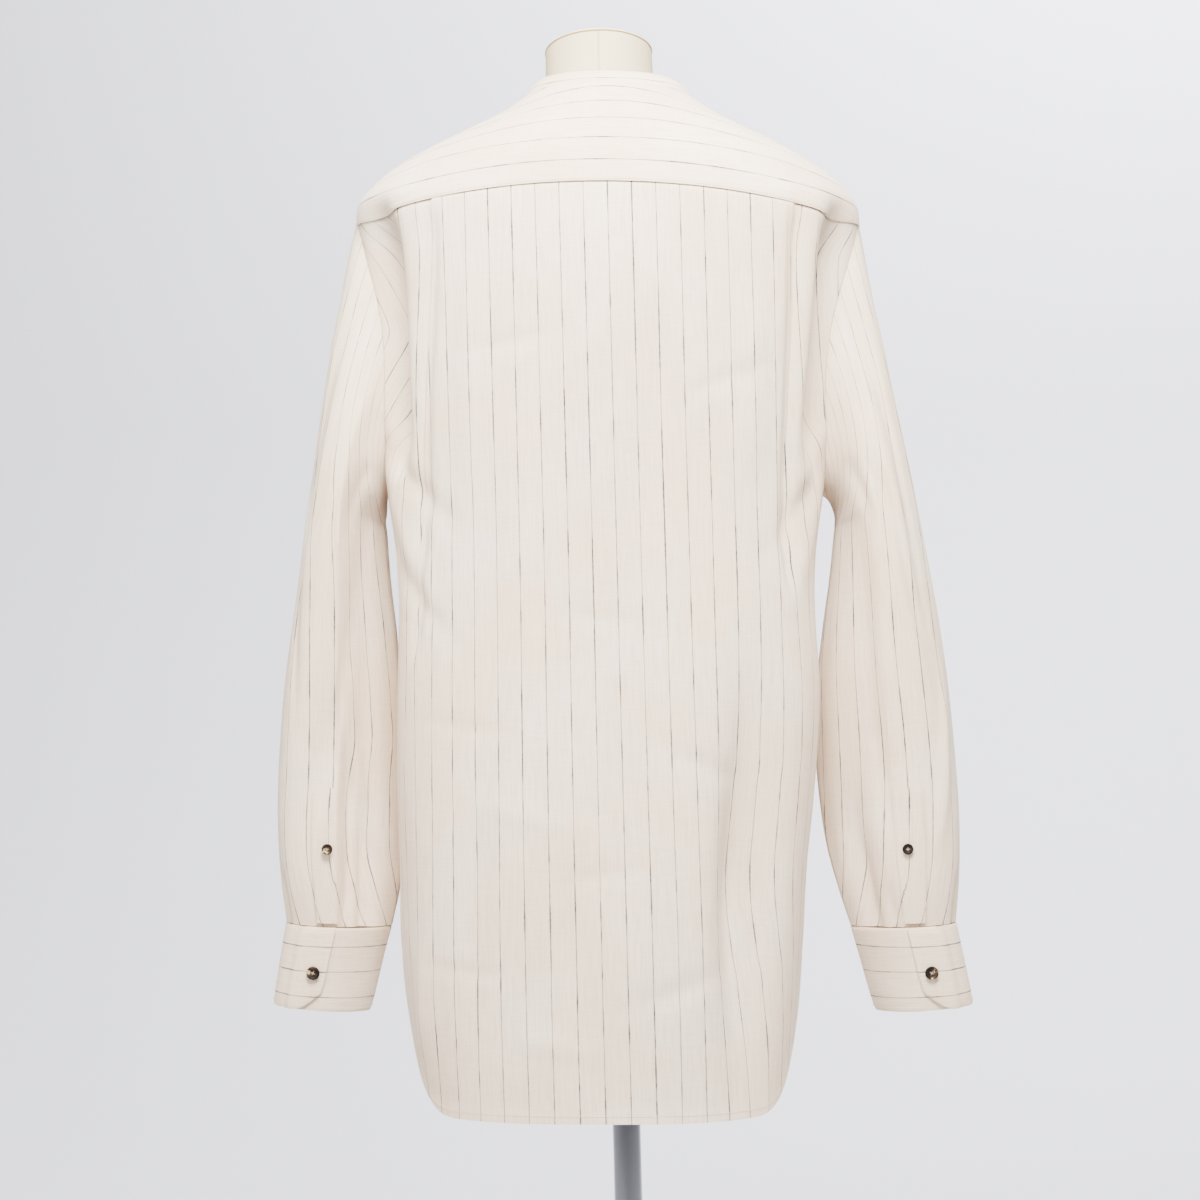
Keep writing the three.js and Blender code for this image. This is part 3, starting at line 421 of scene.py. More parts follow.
def build_mesh(name, points, faces, material, uvs=None, crease=CLOTH_CREASE):
    """A piece on the body, from points in millimetres, shaded smooth below its crease angle."""
    mesh = smooth_mesh(name, (points * MM).tolist(), faces, material)
    if uvs is not None:
        layer = mesh.uv_layers.new(name="cloth")
        corners = np.array([loop.vertex_index for loop in mesh.loops])
        layer.data.foreach_set("uv", (uvs[corners] * MM).ravel())
    mesh.set_sharp_from_angle(angle=math.radians(crease))
    piece = add_object(name, mesh)
    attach(piece, "root")
    return piece


def net_index(columns, rows, closed):
    index = np.arange(columns * rows).reshape(columns, rows)
    return np.concatenate([index, index[:1]]) if closed else index


def quads(a, b, c, d):
    return np.stack([a, b, c, d], axis=-1).reshape(-1, 4)


def wall(name, grid, uvs, thickness, closed, material, middle):
    """A wall of cloth whose outer face runs through a net of points."""
    normals = grid_normals(grid, closed, middle)
    columns, rows = grid.shape[:2]
    points = np.concatenate([grid.reshape(-1, 3), (grid - normals * thickness).reshape(-1, 3)])
    coords = np.concatenate([uvs.reshape(-1, 2)] * 2)
    index = net_index(columns, rows, closed)
    inner = index + columns * rows
    faces = [
        quads(index[:-1, :-1], index[1:, :-1], index[1:, 1:], index[:-1, 1:]),
        quads(inner[:-1, :-1], inner[:-1, 1:], inner[1:, 1:], inner[1:, :-1]),
        quads(index[:-1, 0], inner[:-1, 0], inner[1:, 0], index[1:, 0]),
        quads(index[:-1, -1], index[1:, -1], inner[1:, -1], inner[:-1, -1]),
    ]
    if not closed:
        faces += [
            quads(index[0, :-1], index[0, 1:], inner[0, 1:], inner[0, :-1]),
            quads(index[-1, :-1], inner[-1, :-1], inner[-1, 1:], index[-1, 1:]),
        ]
    faces = np.concatenate(faces)
    a, b, d = (grid[0, 0], grid[1, 0], grid[0, 1])
    if np.dot(np.cross(b - a, d - a), normals[0, 0]) < 0:
        faces = faces[:, ::-1]
    return build_mesh(name, points, faces.tolist(), material, coords)


def sew(
    name, node, grid, uvs, material, middle, thickness=CLOTH, closed=False
):
    """Makes a wall of cloth and puts it in its solid's place, hiding the solid."""
    piece = wall(name, grid, uvs, thickness, closed, material, middle)
    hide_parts(node)


def arcs(grid):
    """Cloth distance along each row of a net, from its first column."""
    steps = np.linalg.norm(np.diff(grid, axis=0), axis=2)
    return np.concatenate([np.zeros((1, grid.shape[1])), np.cumsum(steps, axis=0)])


def lengths(grid):
    """Cloth distance down each column of a net, from its last row."""
    steps = np.linalg.norm(np.diff(grid, axis=1), axis=2)
    total = np.concatenate([np.zeros((grid.shape[0], 1)), np.cumsum(steps, axis=1)], axis=1)
    return total - total[:, -1:]


STITCH = {"step": 3.1, "long": 2.3, "thick": 0.42, "rise": 0.12, "end": 0.5, "crown": 0.95}
# A stitch's eight corners: 0 and 5 are its ends, 1 to 4 its shoulders, 6 and 7 its crown.
STITCH_FACES = (
    (0, 1, 6), (0, 6, 2), (5, 7, 3), (5, 4, 7), (1, 3, 7), (1, 7, 6), (2, 6, 7), (2, 7, 4),
    (0, 5, 3), (0, 3, 1), (0, 4, 5), (0, 2, 4),
)


def stitches(name, line, normals):
    """A row of stitches along a line of points: short threads lying on the cloth."""
    run = np.concatenate([[0], np.cumsum(np.linalg.norm(np.diff(line, axis=0), axis=1))])
    count = max(2, int(run[-1] / STITCH["step"]))
    starts = np.linspace(0, run[-1] - STITCH["long"], count)

    def at(values, place):
        return np.stack([np.interp(place, run, values[:, k]) for k in range(3)], axis=-1)

    points, faces = [], []
    for start in starts:
        a, b = at(line, start), at(line, start + STITCH["long"])
        out = unit(at(normals, start + STITCH["long"] / 2))
        along = unit(b - a)
        end = along * STITCH["end"]
        side = np.cross(along, out) * STITCH["thick"] / 2
        top = out * STITCH["thick"] / 2
        crown = out * STITCH["thick"] * STITCH["crown"]
        a, b = a + out * STITCH["rise"], b + out * STITCH["rise"]
        first = len(points)
        points += [a, a + end + side + top, a + end - side + top]
        points += [b - end + side + top, b - end - side + top, b]
        points += [a + end + crown, b - end + crown]
        faces += [[first + k for k in face] for face in STITCH_FACES]
    build_mesh(name, np.array(points), faces, THREAD)


# ---- materials ----
class Nodes:
    """A short way to write a material's node tree."""

    def __init__(self, name):
        self.material = bpy.data.materials.new(name)
        self.material.use_nodes = True
        self.tree = self.material.node_tree
        self.shader = self.tree.nodes["Principled BSDF"]
        self.output = self.tree.nodes["Material Output"]

    def add(self, kind, **settings):
        node = self.tree.nodes.new(kind)
        inputs = settings.pop("inputs", {})
        for key, value in settings.items():
            setattr(node, key, value)
        for key, value in inputs.items():
            self.put(value, node.inputs[key])
        return node

    def put(self, value, socket):
        if isinstance(value, bpy.types.NodeSocket):
            self.tree.links.new(value, socket)
        else:
            socket.default_value = value

    def math(self, operation, a, b=0.0):
        node = self.add("ShaderNodeMath", operation=operation)
        self.put(a, node.inputs[0])
        self.put(b, node.inputs[1])
        return node.outputs[0]

    def total(self, start, *parts):
        """The start plus each part times its share."""
        for value, share in parts:
            start = self.math("ADD", start, self.math("MULTIPLY", value, share))
        return start

    def ramp(self, value, low, high):
        node = self.add("ShaderNodeMapRange", interpolation_type="SMOOTHSTEP")
        self.put(value, node.inputs["Value"])
        self.put(low, node.inputs["From Min"])
        self.put(high, node.inputs["From Max"])
        return node.outputs["Result"]

    def noise(self, place, scale, detail=2.0, stretch=(1, 1, 1)):
        mapped = self.add("ShaderNodeVectorMath", operation="MULTIPLY", inputs={0: place, 1: stretch})
        inputs = {"Vector": mapped.outputs[0], "Scale": scale, "Detail": detail}
        return self.add("ShaderNodeTexNoise", inputs=inputs).outputs["Fac"]

    def surface(self, colour, settings):
        self.put(colour, self.shader.inputs["Base Color"])
        for name, value in settings.items():
            self.shader.inputs[name].default_value = value

    def bump(self, height, strength, distance):
        inputs = {"Height": height, "Strength": strength, "Distance": distance}
        normal = self.add("ShaderNodeBump", inputs=inputs).outputs[0]
        self.put(normal, self.shader.inputs["Normal"])
        return normal

    def mix(self, share, a, b):
        node = self.add("ShaderNodeMix", data_type="RGBA")
        self.put(share, node.inputs["Factor"])
        self.put(a, node.inputs[6])
        self.put(b, node.inputs[7])
        return node.outputs[2]


CREAM = (0.775, 0.625, 0.465, 1)
CREAM_WARM = (0.745, 0.57, 0.395, 1)
CREAM_PALE = (0.81, 0.69, 0.56, 1)
YARN_SHADE = (0.49, 0.365, 0.24, 1)
INK = (0.045, 0.042, 0.048, 1)
STRIPE_HALF = 0.26  # least half-width of a stripe, in mm
STRIPE_WIDER, STRIPE_EDGE = 0.34, (0.28, -0.12)  # what a slub adds to it, and its soft edge
SLUB_STRETCH, FINE_STRETCH = (17.3, 34, 1), (29.7, 380, 1)  # of the stripes' noises
# The cloth's noises, as scale and detail, and how short they are along their threads.
WARP, SLUBBY, WEFT, CLOUDY, RUMPLE = (1100, 2.5), (420, 2.0), (1000, 2.5), (9, 3), (60, 3)
WARP_STRETCH, WEFT_STRETCH = 0.035, 0.05
LINEN_BUMP = (0.35, 0.0011)
SHEER = 0.12  # share of the light that goes through the linen
LINEN_SURFACE = {
    "Roughness": 0.82, "Specular IOR Level": 0.22, "Sheen Weight": 0.12, "Sheen Roughness": 0.5,
}
HORN_BLACK, HORN_BROWN = (0.010, 0.007, 0.006, 1), (0.05, 0.028, 0.016, 1)
HORN_PALE, HORN_STREAK = (0.42, 0.32, 0.17, 1), (0.10, 0.06, 0.04, 1)


def linen(name, stripe_axis=0, phase=0.0):
    """Slubby linen with thin yarn-dyed stripes, in cloth coordinates of metres."""
    n = Nodes(name)
    uv = n.add("ShaderNodeUVMap", uv_map="cloth").outputs[0]
    split = n.add("ShaderNodeSeparateXYZ", inputs={0: uv})
    across, along = split.outputs[stripe_axis], split.outputs[1 - stripe_axis]
    down = stripe_axis == 0
    warp_stretch = (1, WARP_STRETCH, 1) if down else (WARP_STRETCH, 1, 1)
    weft_stretch = (WEFT_STRETCH, 1, 1) if down else (1, WEFT_STRETCH, 1)
    warp = n.noise(uv, *WARP, warp_stretch)
    slubby = n.noise(uv, *SLUBBY, warp_stretch)
    weft = n.noise(uv, *WEFT, weft_stretch)
    cloudy = n.noise(uv, *CLOUDY)
    colour = n.mix(n.ramp(cloudy, 0.36, 0.66), CREAM_WARM, CREAM_PALE)
    colour = n.mix(0.5, colour, CREAM)
    yarn = n.total(0.0, (warp, 0.5), (weft, 0.25), (slubby, 0.25))
    colour = n.mix(n.math("MULTIPLY", n.ramp(yarn, 0.56, 0.40), 0.32), colour, YARN_SHADE)
    place = n.math("ADD", n.math("DIVIDE", across, STRIPE_STEP * MM), phase)
    number = n.math("ROUND", place)
    off = n.math("ABSOLUTE", n.math("MULTIPLY", n.math("SUBTRACT", place, number), STRIPE_STEP))
    line = n.add("ShaderNodeCombineXYZ", inputs={0: number, 1: along})
    slub = n.noise(line.outputs[0], 1, 3, SLUB_STRETCH)
    fine = n.noise(line.outputs[0], 1, 2, FINE_STRETCH)
    wide = n.total(STRIPE_HALF, (n.ramp(slub, 0.42, 0.70), STRIPE_WIDER))
    edge = n.math("SUBTRACT", off, wide)
    inside = n.ramp(edge, *STRIPE_EDGE)
    strength = n.total(0.55, (n.ramp(slub, 0.38, 0.62), 0.30), (n.ramp(fine, 0.40, 0.65), 0.15))
    colour = n.mix(n.math("MULTIPLY", inside, strength), colour, INK)
    n.surface(colour, LINEN_SURFACE)
    rumple = n.noise(uv, *RUMPLE, (1, 0.6, 1))
    height = n.total(0.0, (yarn, 0.35), (rumple, 0.9))
    normal = n.bump(height, *LINEN_BUMP)
    through = n.add("ShaderNodeBsdfTranslucent", inputs={"Color": colour, "Normal": normal})
    both = n.add("ShaderNodeMixShader", inputs={0: SHEER, 1: n.shader.outputs[0], 2: through.outputs[0]})
    n.put(both.outputs[0], n.output.inputs["Surface"])
    return n.material


def plain(name, colour, roughness, metallic=0.0, grain=400, bump=0.1, spread=0.06):
    n = Nodes(name)
    place = n.add("ShaderNodeTexCoord").outputs["Object"]
    speck = n.noise(place, grain, 3)
    dark = tuple(c * (1 - spread) for c in colour) + (1,)
    colour = n.mix(speck, dark, tuple(colour) + (1,))
    n.surface(colour, {"Roughness": roughness, "Metallic": metallic})
    n.bump(speck, bump, 0.0004)
    return n.material


def horn_material():
    n = Nodes("horn")
    place = n.add("ShaderNodeTexCoord").outputs["Object"]
    patch = n.noise(place, 150, 2, (1, 1, 0.8))
    streak = n.noise(place, 420, 3, (1, 0.4, 1))
    colour = n.mix(n.ramp(patch, 0.50, 0.62), HORN_BLACK, HORN_BROWN)
    colour = n.mix(n.math("MULTIPLY", n.ramp(patch, 0.63, 0.67), 0.95), colour, HORN_PALE)
    colour = n.mix(n.math("MULTIPLY", n.ramp(streak, 0.55, 0.75), 0.3), colour, HORN_STREAK)
    n.surface(colour, {"Roughness": 0.55, "Specular IOR Level": 0.06})
    return n.material


STRIPED_DOWN = linen("linen_body")
STRIPED_ACROSS = linen("linen_across", stripe_axis=1)
YOKE_LINEN = linen("linen_yoke", stripe_axis=1, phase=0.12)
THREAD = plain("thread", (0.66, 0.54, 0.40), 0.7, grain=900)
BUTTON_THREAD = plain("button_thread", (0.42, 0.34, 0.23), 0.8, grain=900)
COVER = plain("cover", (0.56, 0.47, 0.29), 0.85, grain=1500, bump=0.3)
HORN = horn_material()
CHROME = plain("chrome", (0.25, 0.255, 0.265), 0.12, metallic=1.0, grain=60, bump=0.0, spread=0.02)
# Near-black discs laid over the buttons' holes: painted shade for the insides of the holes.
HOLE_SHADE = plain("painted_hole_shade", (0.02, 0.015, 0.012), 0.6)
PAPER = plain("paper", (0.70, 0.70, 0.745), 0.9, grain=3, bump=0.0, spread=0.02)


# ---- torso panels ----
def on_axis(grid, x):
    """Points inside the body, level with the points of a net."""
    return np.stack([x + 0 * grid[..., 0], 0 * grid[..., 1], grid[..., 2]], axis=-1)


def torso_middle(grid):
    return on_axis(grid, body("shift", grid[..., 2] - LEAN * grid[..., 0]))


PLEAT_SHARE = 0.62
STRIP_SHARE = 0.76  # where the bias strip beside the left armhole starts
EDGE_SHARE = 0.0006  # half the width of a fold's edge


def shares_of_back():
    stops = (0, 0.58, PLEAT_SHARE - EDGE_SHARE, PLEAT_SHARE + EDGE_SHARE)
    stops += (0.67, STRIP_SHARE - EDGE_SHARE, STRIP_SHARE + EDGE_SHARE, 1)
    half = steps_between(stops, (62, 12, 2, 14, 14, 2, 28))
    return np.concatenate([-half[:0:-1], half])


def pleat_turn(side, z):
    head, foot, end = PLEAT[side]
    return mix(head, foot, np.clip((YOKE_SEAM - z) / (YOKE_SEAM - end), 0, 1))


def back_turn(share, z):
    side = np.where(share < 0, -1, 1)
    away = np.abs(share)
    turn = 0
    for sign in PLEAT:
        pleat = np.abs(pleat_turn(sign, z))
        inner = away / PLEAT_SHARE * pleat
        outer = mix(pleat, back_edge(z), (away - PLEAT_SHARE) / (1 - PLEAT_SHARE))
        turn = turn + np.where(side == sign, np.where(away < PLEAT_SHARE, inner, outer), 0)
    return side * turn


STRIPE_X = -4  # where a stripe lies on the back, all the way down
FRONT_STRIPE_AT, BAND_STRIPE_AT = 8, 4  # from the fronts' and the band's edge to a stripe
BACK_EASE = table(
    "z step", (611, 19.8), (740, 19.9), (820, 19.6), (960, 19.2), (1100, 18.9), (1340, 18.8)
)
PLEAT_STEP, PLEAT_DIP = 1.8, 1.4  # how far a pleat's edge stands out, and what lies beside it dips
PLEAT_EASE = (8, 7)  # degrees before the edge and past it over which they do so
PLEAT_FADE = (60, 120)  # mm below and above its foot over which a pleat comes in
PLEAT_HELD, PLEAT_HELD_LONG = 0.6, 60  # how much the yoke's seam holds it down, and how far
PLEAT_HIDDEN = {1: (12, 1150, 1345), -1: (9, 1120, 1300)}  # cloth inside the pleat, gone at, whole at
BIAS = {"slope": 0.7, "turn": 1235, "low": 1140, "bend": 10}  # how the strip's stripes run out and back
TUCK, FRONT_TUCK = 5, 3  # how far a panel goes on under the piece sewn over it


def pleat_rise(share, turn, z):
    """A pleat's inner side lies over its outer side, with a sharp edge between them."""
    out = 0
    for side, (_, _, end) in PLEAT.items():
        past = side * (turn - pleat_turn(side, z))
        over = (side * share > 0) & (side * share < PLEAT_SHARE)
        beyond = side * share > PLEAT_SHARE
        step = np.where(over, PLEAT_STEP * smoothstep(past, -PLEAT_EASE[0], 0), 0)
        step = step - np.where(beyond, PLEAT_DIP * (1 - smoothstep(past, 0, PLEAT_EASE[1])), 0)
        held = PLEAT_HELD * smoothstep(z, YOKE_SEAM - PLEAT_HELD_LONG, YOKE_SEAM)
        out = out + step * smoothstep(z, end - PLEAT_FADE[0], end + PLEAT_FADE[1]) * (1 - held)
    return out


def cloth_in_folds(share, z):
    """Cloth hidden in the pleats, and the left armhole's strip cut on the bias."""
    out = 0
    for side, (deep, gone, whole) in PLEAT_HIDDEN.items():
        out = out + np.where(side * share > PLEAT_SHARE, side * deep * smoothstep(z, gone, whole), 0)
    away = np.hypot(np.maximum(z, BIAS["low"]) - BIAS["turn"], BIAS["bend"])
    return out - np.where(share > STRIP_SHARE, BIAS["slope"] * away, 0)


TUCK_DEEP, TUCK_EASE = 1.3, (1, 0.6)  # how far in it goes, from below the seam to above it
HEM_RAISE, HEM_EASE = 0.6, (0.5, 0.8)


def panel_heights(hem, top, below, above):
    """Heights of a panel's rows, more of them below the underarm's level than above it."""
    low, high = np.linspace(0, 1, below)[:-1], np.linspace(0, 1, above)
    return np.concatenate([mix(hem, UNDERARM, low), mix(UNDERARM, top, high)], axis=1)


def panel_raised(z, seam, hem):
    """A panel goes in under the piece sewn over it, and its turned-up hem stands out."""
    tucked = -TUCK_DEEP * smoothstep(z, seam - TUCK_EASE[0], seam + TUCK_EASE[1])
    fold = hem + HEM_FOLD
    return tucked + HEM_RAISE * (1 - smoothstep(z, fold - HEM_EASE[0], fold + HEM_EASE[1]))


def make_back():
    shares = shares_of_back()[:, None]
    top = yoke_seam_height(back_turn(shares, YOKE_SEAM))
    top = np.where(np.abs(shares) >= 1, YOKE_BACK_CORNER, top)
    hem = hem_height(back_turn(shares, HEM_BACK))
    z = panel_heights(hem, top + TUCK, *BACK_NET)
    turn = back_turn(shares, z)
    raised = panel_raised(z, top, hem) + pleat_rise(shares + 0 * z, turn, z)
    grid = torso_point(turn, z, raised)
    run = arcs(grid)
    start = np.array([np.interp(STRIPE_X, grid[:, j, 0], run[:, j]) for j in range(grid.shape[1])])
    u = (run - start) * STRIPE_STEP / curve(BACK_EASE["z"], BACK_EASE["step"], z)
    u = u + cloth_in_folds(shares + 0 * z, z)
    uvs = np.stack([u, lengths(grid)], axis=-1)
    sew("shirt_back", "back", grid, uvs, STRIPED_DOWN, torso_middle(grid))


def front_turn(shares, z, last=FRONT_EDGE_TURN):
    return mix(front_edge(np.minimum(z, YOKE_FRONT_CORNER)), last, shares)


def make_front(side, node):
    last = FRONT_EDGE_TURN - (0 if side > 0 else FRONT_UNDER_SHORT)
    shares = np.linspace(0, 1, FRONT_NET[0])[:, None]
    seam = front_top(front_turn(shares, YOKE_FRONT_CORNER, last))
    hem = hem_height(front_turn(shares, HEM_FRONT, last))
    z = panel_heights(hem, seam + FRONT_TUCK, *FRONT_NET[1:])
    turn = front_turn(shares, z, last)
    raised = panel_raised(z, seam, hem)
    if side < 0:
        raised = raised - UNDERLAP * smoothstep(turn, *UNDERLAP_TURNS)
    grid = torso_point(side * turn, z, raised)
    run = arcs(grid)
    uvs = np.stack([run - run[-1:] + FRONT_STRIPE_AT, lengths(grid)], axis=-1)
    sew(f"shirt_{node}", node, grid, uvs, STRIPED_DOWN, torso_middle(grid))


RIDGE_LEVELS = np.arange(1345, 1431.5, 0.5)  # heights of the shoulders' ridge


def stripe_run(x, z, front):
    """Cloth distance up from the back yoke seam, over the shoulder, along lines of constant x."""
    aside = np.abs(x - body("shift", z))
    seam = YOKE_SEAM - YOKE_SEAM_FALL * x * x
    half = body("half", RIDGE_LEVELS)
    order = np.argsort(half)
    ridge = np.maximum(np.interp(aside, half[order], RIDGE_LEVELS[order]), seam)

    def length(start, end, name):
        steps = start[..., None] + (end - start)[..., None] * np.linspace(0, 1, 30) ** 0.5
        inside = np.clip(1 - (aside[..., None] / body("half", steps)) ** body("round", steps), 0, 1)
        y = body(name, steps) * inside ** (1 / body("round", steps))
        return np.hypot(np.diff(y), np.diff(steps)).sum(axis=-1)

    behind = length(seam, np.where(front, ridge, z), "back") * np.where(front | (z >= seam), 1, -1)
    return behind + np.where(front, length(z + 0 * x, ridge, "front"), 0)


YOKE_UNDER = 3  # how far the yoke goes on under the collar band
YOKE_RAISED, YOKE_EDGE_RAISED, YOKE_EDGE_SHARE = 0.15, 0.9, 0.22  # it stands out most at its edge


def make_yoke():
    """The yoke's outer edge runs up one armhole, along the back seam and down the other."""
    front_place, back_place = armhole_place(YOKE_FRONT_CORNER), armhole_place(YOKE_BACK_CORNER)
    cap = np.linspace(-front_place, back_place, YOKE_NET[0])
    neck = np.linspace(YOKE_NECK_TURN, NECK_BACK_TURN, YOKE_NET[0])
    middle = shares_of_back()[2:-2:2]
    seam = back_turn(middle, YOKE_SEAM + 0 * middle)
    right, left = (np.stack(armhole(side, cap), axis=-1) for side in (-1, 1))
    back = np.stack([seam, yoke_seam_height(seam)], axis=-1)
    outer = np.concatenate([right, back, left[::-1]])
    rim = np.concatenate([-neck, middle * NECK_BACK_TURN, neck[::-1]])
    ends = np.stack([rim, neck_height(rim) + YOKE_UNDER], axis=-1)
    along = np.linspace(0, 1, YOKE_NET[1])[None, :]
    places = mix(outer[:, None], ends[:, None], along[..., None])
    turn, z = places[..., 0], places[..., 1]
    raised = YOKE_EDGE_RAISED * (1 - smoothstep(along + 0 * turn, 0.0, YOKE_EDGE_SHARE)) + YOKE_RAISED
    grid = torso_point(turn, z, raised)
    front = np.abs(turn) > 90
    v = stripe_run(torso_point(turn, z, 0 * turn)[..., 0], z, front)
    uvs = np.stack([grid[..., 0], v], axis=-1)
    sew("shirt_yoke", "yoke", grid, uvs, YOKE_LINEN, torso_middle(grid))


# ---- collar band ----
COLLAR_LAP, COLLAR_LAP_TURNS = 6, (170, 176)
COLLAR_TOP_X, COLLAR_TOP_Y = 0.82, 0.73
COLLAR_ABOVE_SEAM, COLLAR_LAP_GAP, COLLAR_BELLY = 0.6, 0.6, 0.9
COLLAR_EDGE, COLLAR_EDGE_DEEP = 0.14, 1.1  # share of the band that rounds over, and how far in
COLLAR_STRIPE_AT = 12


def collar_point(turn, up):
    base = torso_point(turn, neck_height(turn) + COLLAR_ABOVE_SEAM)
    shift = body("shift", NECK_SEAM)
    top_x = shift + (base[..., 0] - shift) * COLLAR_TOP_X
    top = np.stack([top_x, base[..., 1] * COLLAR_TOP_Y, base[..., 2] + BAND_RISE], axis=-1)
    away = base - np.array([shift, 0, 0])
    away[..., 2] = 0
    away = unit(away)
    over = smoothstep(turn, *COLLAR_LAP_TURNS) * (BAND_CLOTH + COLLAR_LAP_GAP)
    edge = np.clip((np.abs(up - 0.5) - 0.5 + COLLAR_EDGE) / COLLAR_EDGE, 0, 1)
    round_over = -COLLAR_EDGE_DEEP * edge**2
    belly = COLLAR_BELLY * np.sin(np.pi * np.clip(up, 0, 1))
    return mix(base, top, up[..., None]) + away * (over + round_over + belly)[..., None]


def make_collar():
    turn = np.linspace(-180 - COLLAR_LAP, 180 + COLLAR_LAP, COLLAR_NET[0])[:, None]
    up = np.linspace(0, 1, COLLAR_NET[1])[None, :]
    grid = collar_point(turn + 0 * up, up + 0 * turn)
    run = arcs(grid)
    middle = on_axis(grid, body("shift", NECK_SEAM))
    uvs = np.stack([run, lengths(grid) + COLLAR_STRIPE_AT], axis=-1)
    name, rests_on = "shirt_collar_band", ["shirt_yoke"]
    sew(name, "collar_band", grid, uvs, YOKE_LINEN, middle, BAND_CLOTH)


# ---- sleeves and cuffs ----
SLEEVE_ROUND, BACK_BLEND = 0.92, 0.35
SLEEVE_RINGS, CAP_RINGS = 14, 5
ARMHOLE_GAP = 1.0  # how far inside the armhole's edge the sleeve starts


def ring_point(sizes, side, place, ring):
    """Points of a sleeve or cuff: place runs round it from 0, outside, over 90, the back."""
    rows = np.arange(len(sizes["outX"]), dtype=float)
    at = {name: curve(rows, values, ring) for name, values in sizes.items()}
    across, deep = np.cos(np.radians(place)), np.sin(np.radians(place))
    back = np.where(across > 0, at["flat"], at["slant"])
    power = mix(SLEEVE_ROUND, back, smoothstep(deep, 0, BACK_BLEND))

    def shaped(value):
        return np.sign(value) * np.abs(value) ** power

    out = (shaped(across) + 1) / 2
    inner = at["left" if side > 0 else "right"]
    x = side * mix(inner, at["outX"], out)
    y = (at["back"] + at["front"]) / 2 + (at["back"] - at["front"]) / 2 * shaped(deep)
    return np.stack([x, y, mix(at["inZ"], at["outZ"], out) + LEAN * x], axis=-1)


def ring_middle(sizes, side, ring):
    a = ring_point(sizes, side, 0.0, ring)
    b = ring_point(sizes, side, 180.0, ring)
    rows = np.arange(len(sizes["outX"]), dtype=float)
    y = (curve(rows, sizes["back"], ring) + curve(rows, sizes["front"], ring)) / 2
    middle = (a + b) / 2
    return np.stack([middle[..., 0], y + 0 * a[..., 0], middle[..., 2]], axis=-1)


FOLD_RISE, FOLD_FALL = (-0.15, 0.35), (-1.15, -0.65)  # shares of a fold's length, past its ends


def sleeve_folds(side, place, ring):
    out = 0
    for fold in rows_of(SLEEVE_FOLDS):
        if fold["side"] != side:
            continue
        along = (ring - fold["head"]) / (fold["foot"] - fold["head"])
        line = mix(fold["headAt"], fold["footAt"], np.clip(along, 0, 1))
        alive = smoothstep(along, *FOLD_RISE) * smoothstep(-along, *FOLD_FALL)
        out = out + fold["deep"] * alive * bell(wrap(place - line), fold["wide"])
    return out


def sleeve_point(side, place, ring, raised=0.0):
    point = ring_point(SLEEVE, side, place, ring)
    away = unit(point - ring_middle(SLEEVE, side, ring))
    point = point + away * np.asarray(sleeve_folds(side, place, ring) + raised)[..., None]
    turn, z = armhole(side, place)
    seam = torso_point(turn, z)
    hole = ring_middle(SLEEVE, side, 0.0)
    seam = seam + unit(hole - seam) * ARMHOLE_GAP
    stay = (1 - np.clip(ring / CAP_RINGS, 0, 1)) ** 2
    return point + (seam - ring_point(SLEEVE, side, place, 0.0)) * np.asarray(stay)[..., None]


# Cloth from the outer fold to the first stripe on the sleeve's back, by ring.
SLEEVE_STRIPE_AT = {
    1: table("ring at", (0, 6), (3, 6), (6, 6), (9, 11), (10.5, 9), (11.5, 3), (12.5, -1), (14, -2)),
    -1: table("ring at", (0, 8), (3, 7), (6, 8), (9, 9), (11, 5), (12.5, -1), (14, -2)),
}


def make_sleeve(side, word):
    """Returns the stripes' coordinate over the sleeve's net."""
    place = np.linspace(-180, 180, SLEEVE_NET[0] + 1)[:-1][:, None]
    ring = np.linspace(0, SLEEVE_RINGS, SLEEVE_NET[1])[None, :]
    grid = sleeve_point(side, place + 0 * ring, ring + 0 * place)
    middle = ring_middle(SLEEVE, side, ring[0])[None] + 0 * grid
    run = arcs(grid)
    zero = run[SLEEVE_NET[0] // 2][None, :]
    first = SLEEVE_STRIPE_AT[side]
    u = run - zero - curve(first["ring"], first["at"], ring)
    uvs = np.stack([u, -lengths(grid)], axis=-1)
    node = f"sleeve_{word}"
    sew(f"shirt_{node}", node, grid, uvs, STRIPED_DOWN, middle, closed=True)
    return u


def cuff_point(side, place, ring, raised=0.0):
    point = ring_point(CUFF, side, place, ring)
    away = point - ring_middle(CUFF, side, ring)
    away[..., 2] = 0
    return point + unit(away) * np.asarray(raised)[..., None]


CUFF_RINGS = np.linspace(0, 2, 9)
CUFF_RUN = np.linalg.norm(ring_point(CUFF, 1, 0.0, CUFF_RINGS) - ring_point(CUFF, 1, 0.0, 0.0), axis=-1)
CUFF_DEEP = float(CUFF_RUN[-1])
CUFF_STRIPE_AT = 4.2  # shifts the stripes round the cuff
CUFF_EDGE_DEEP, CUFF_EDGE_WIDE = 0.7, 1.6  # how far in the edges round over
CUFF_SEAM_DEEP, CUFF_SEAM = 0.35, (5.5, 7)  # cloth between the topstitching and the edge
CUFF_END = CUFF_EDGE + 360  # where the upper end stops, and the finer columns before it start
CUFF_END_FINE = 30


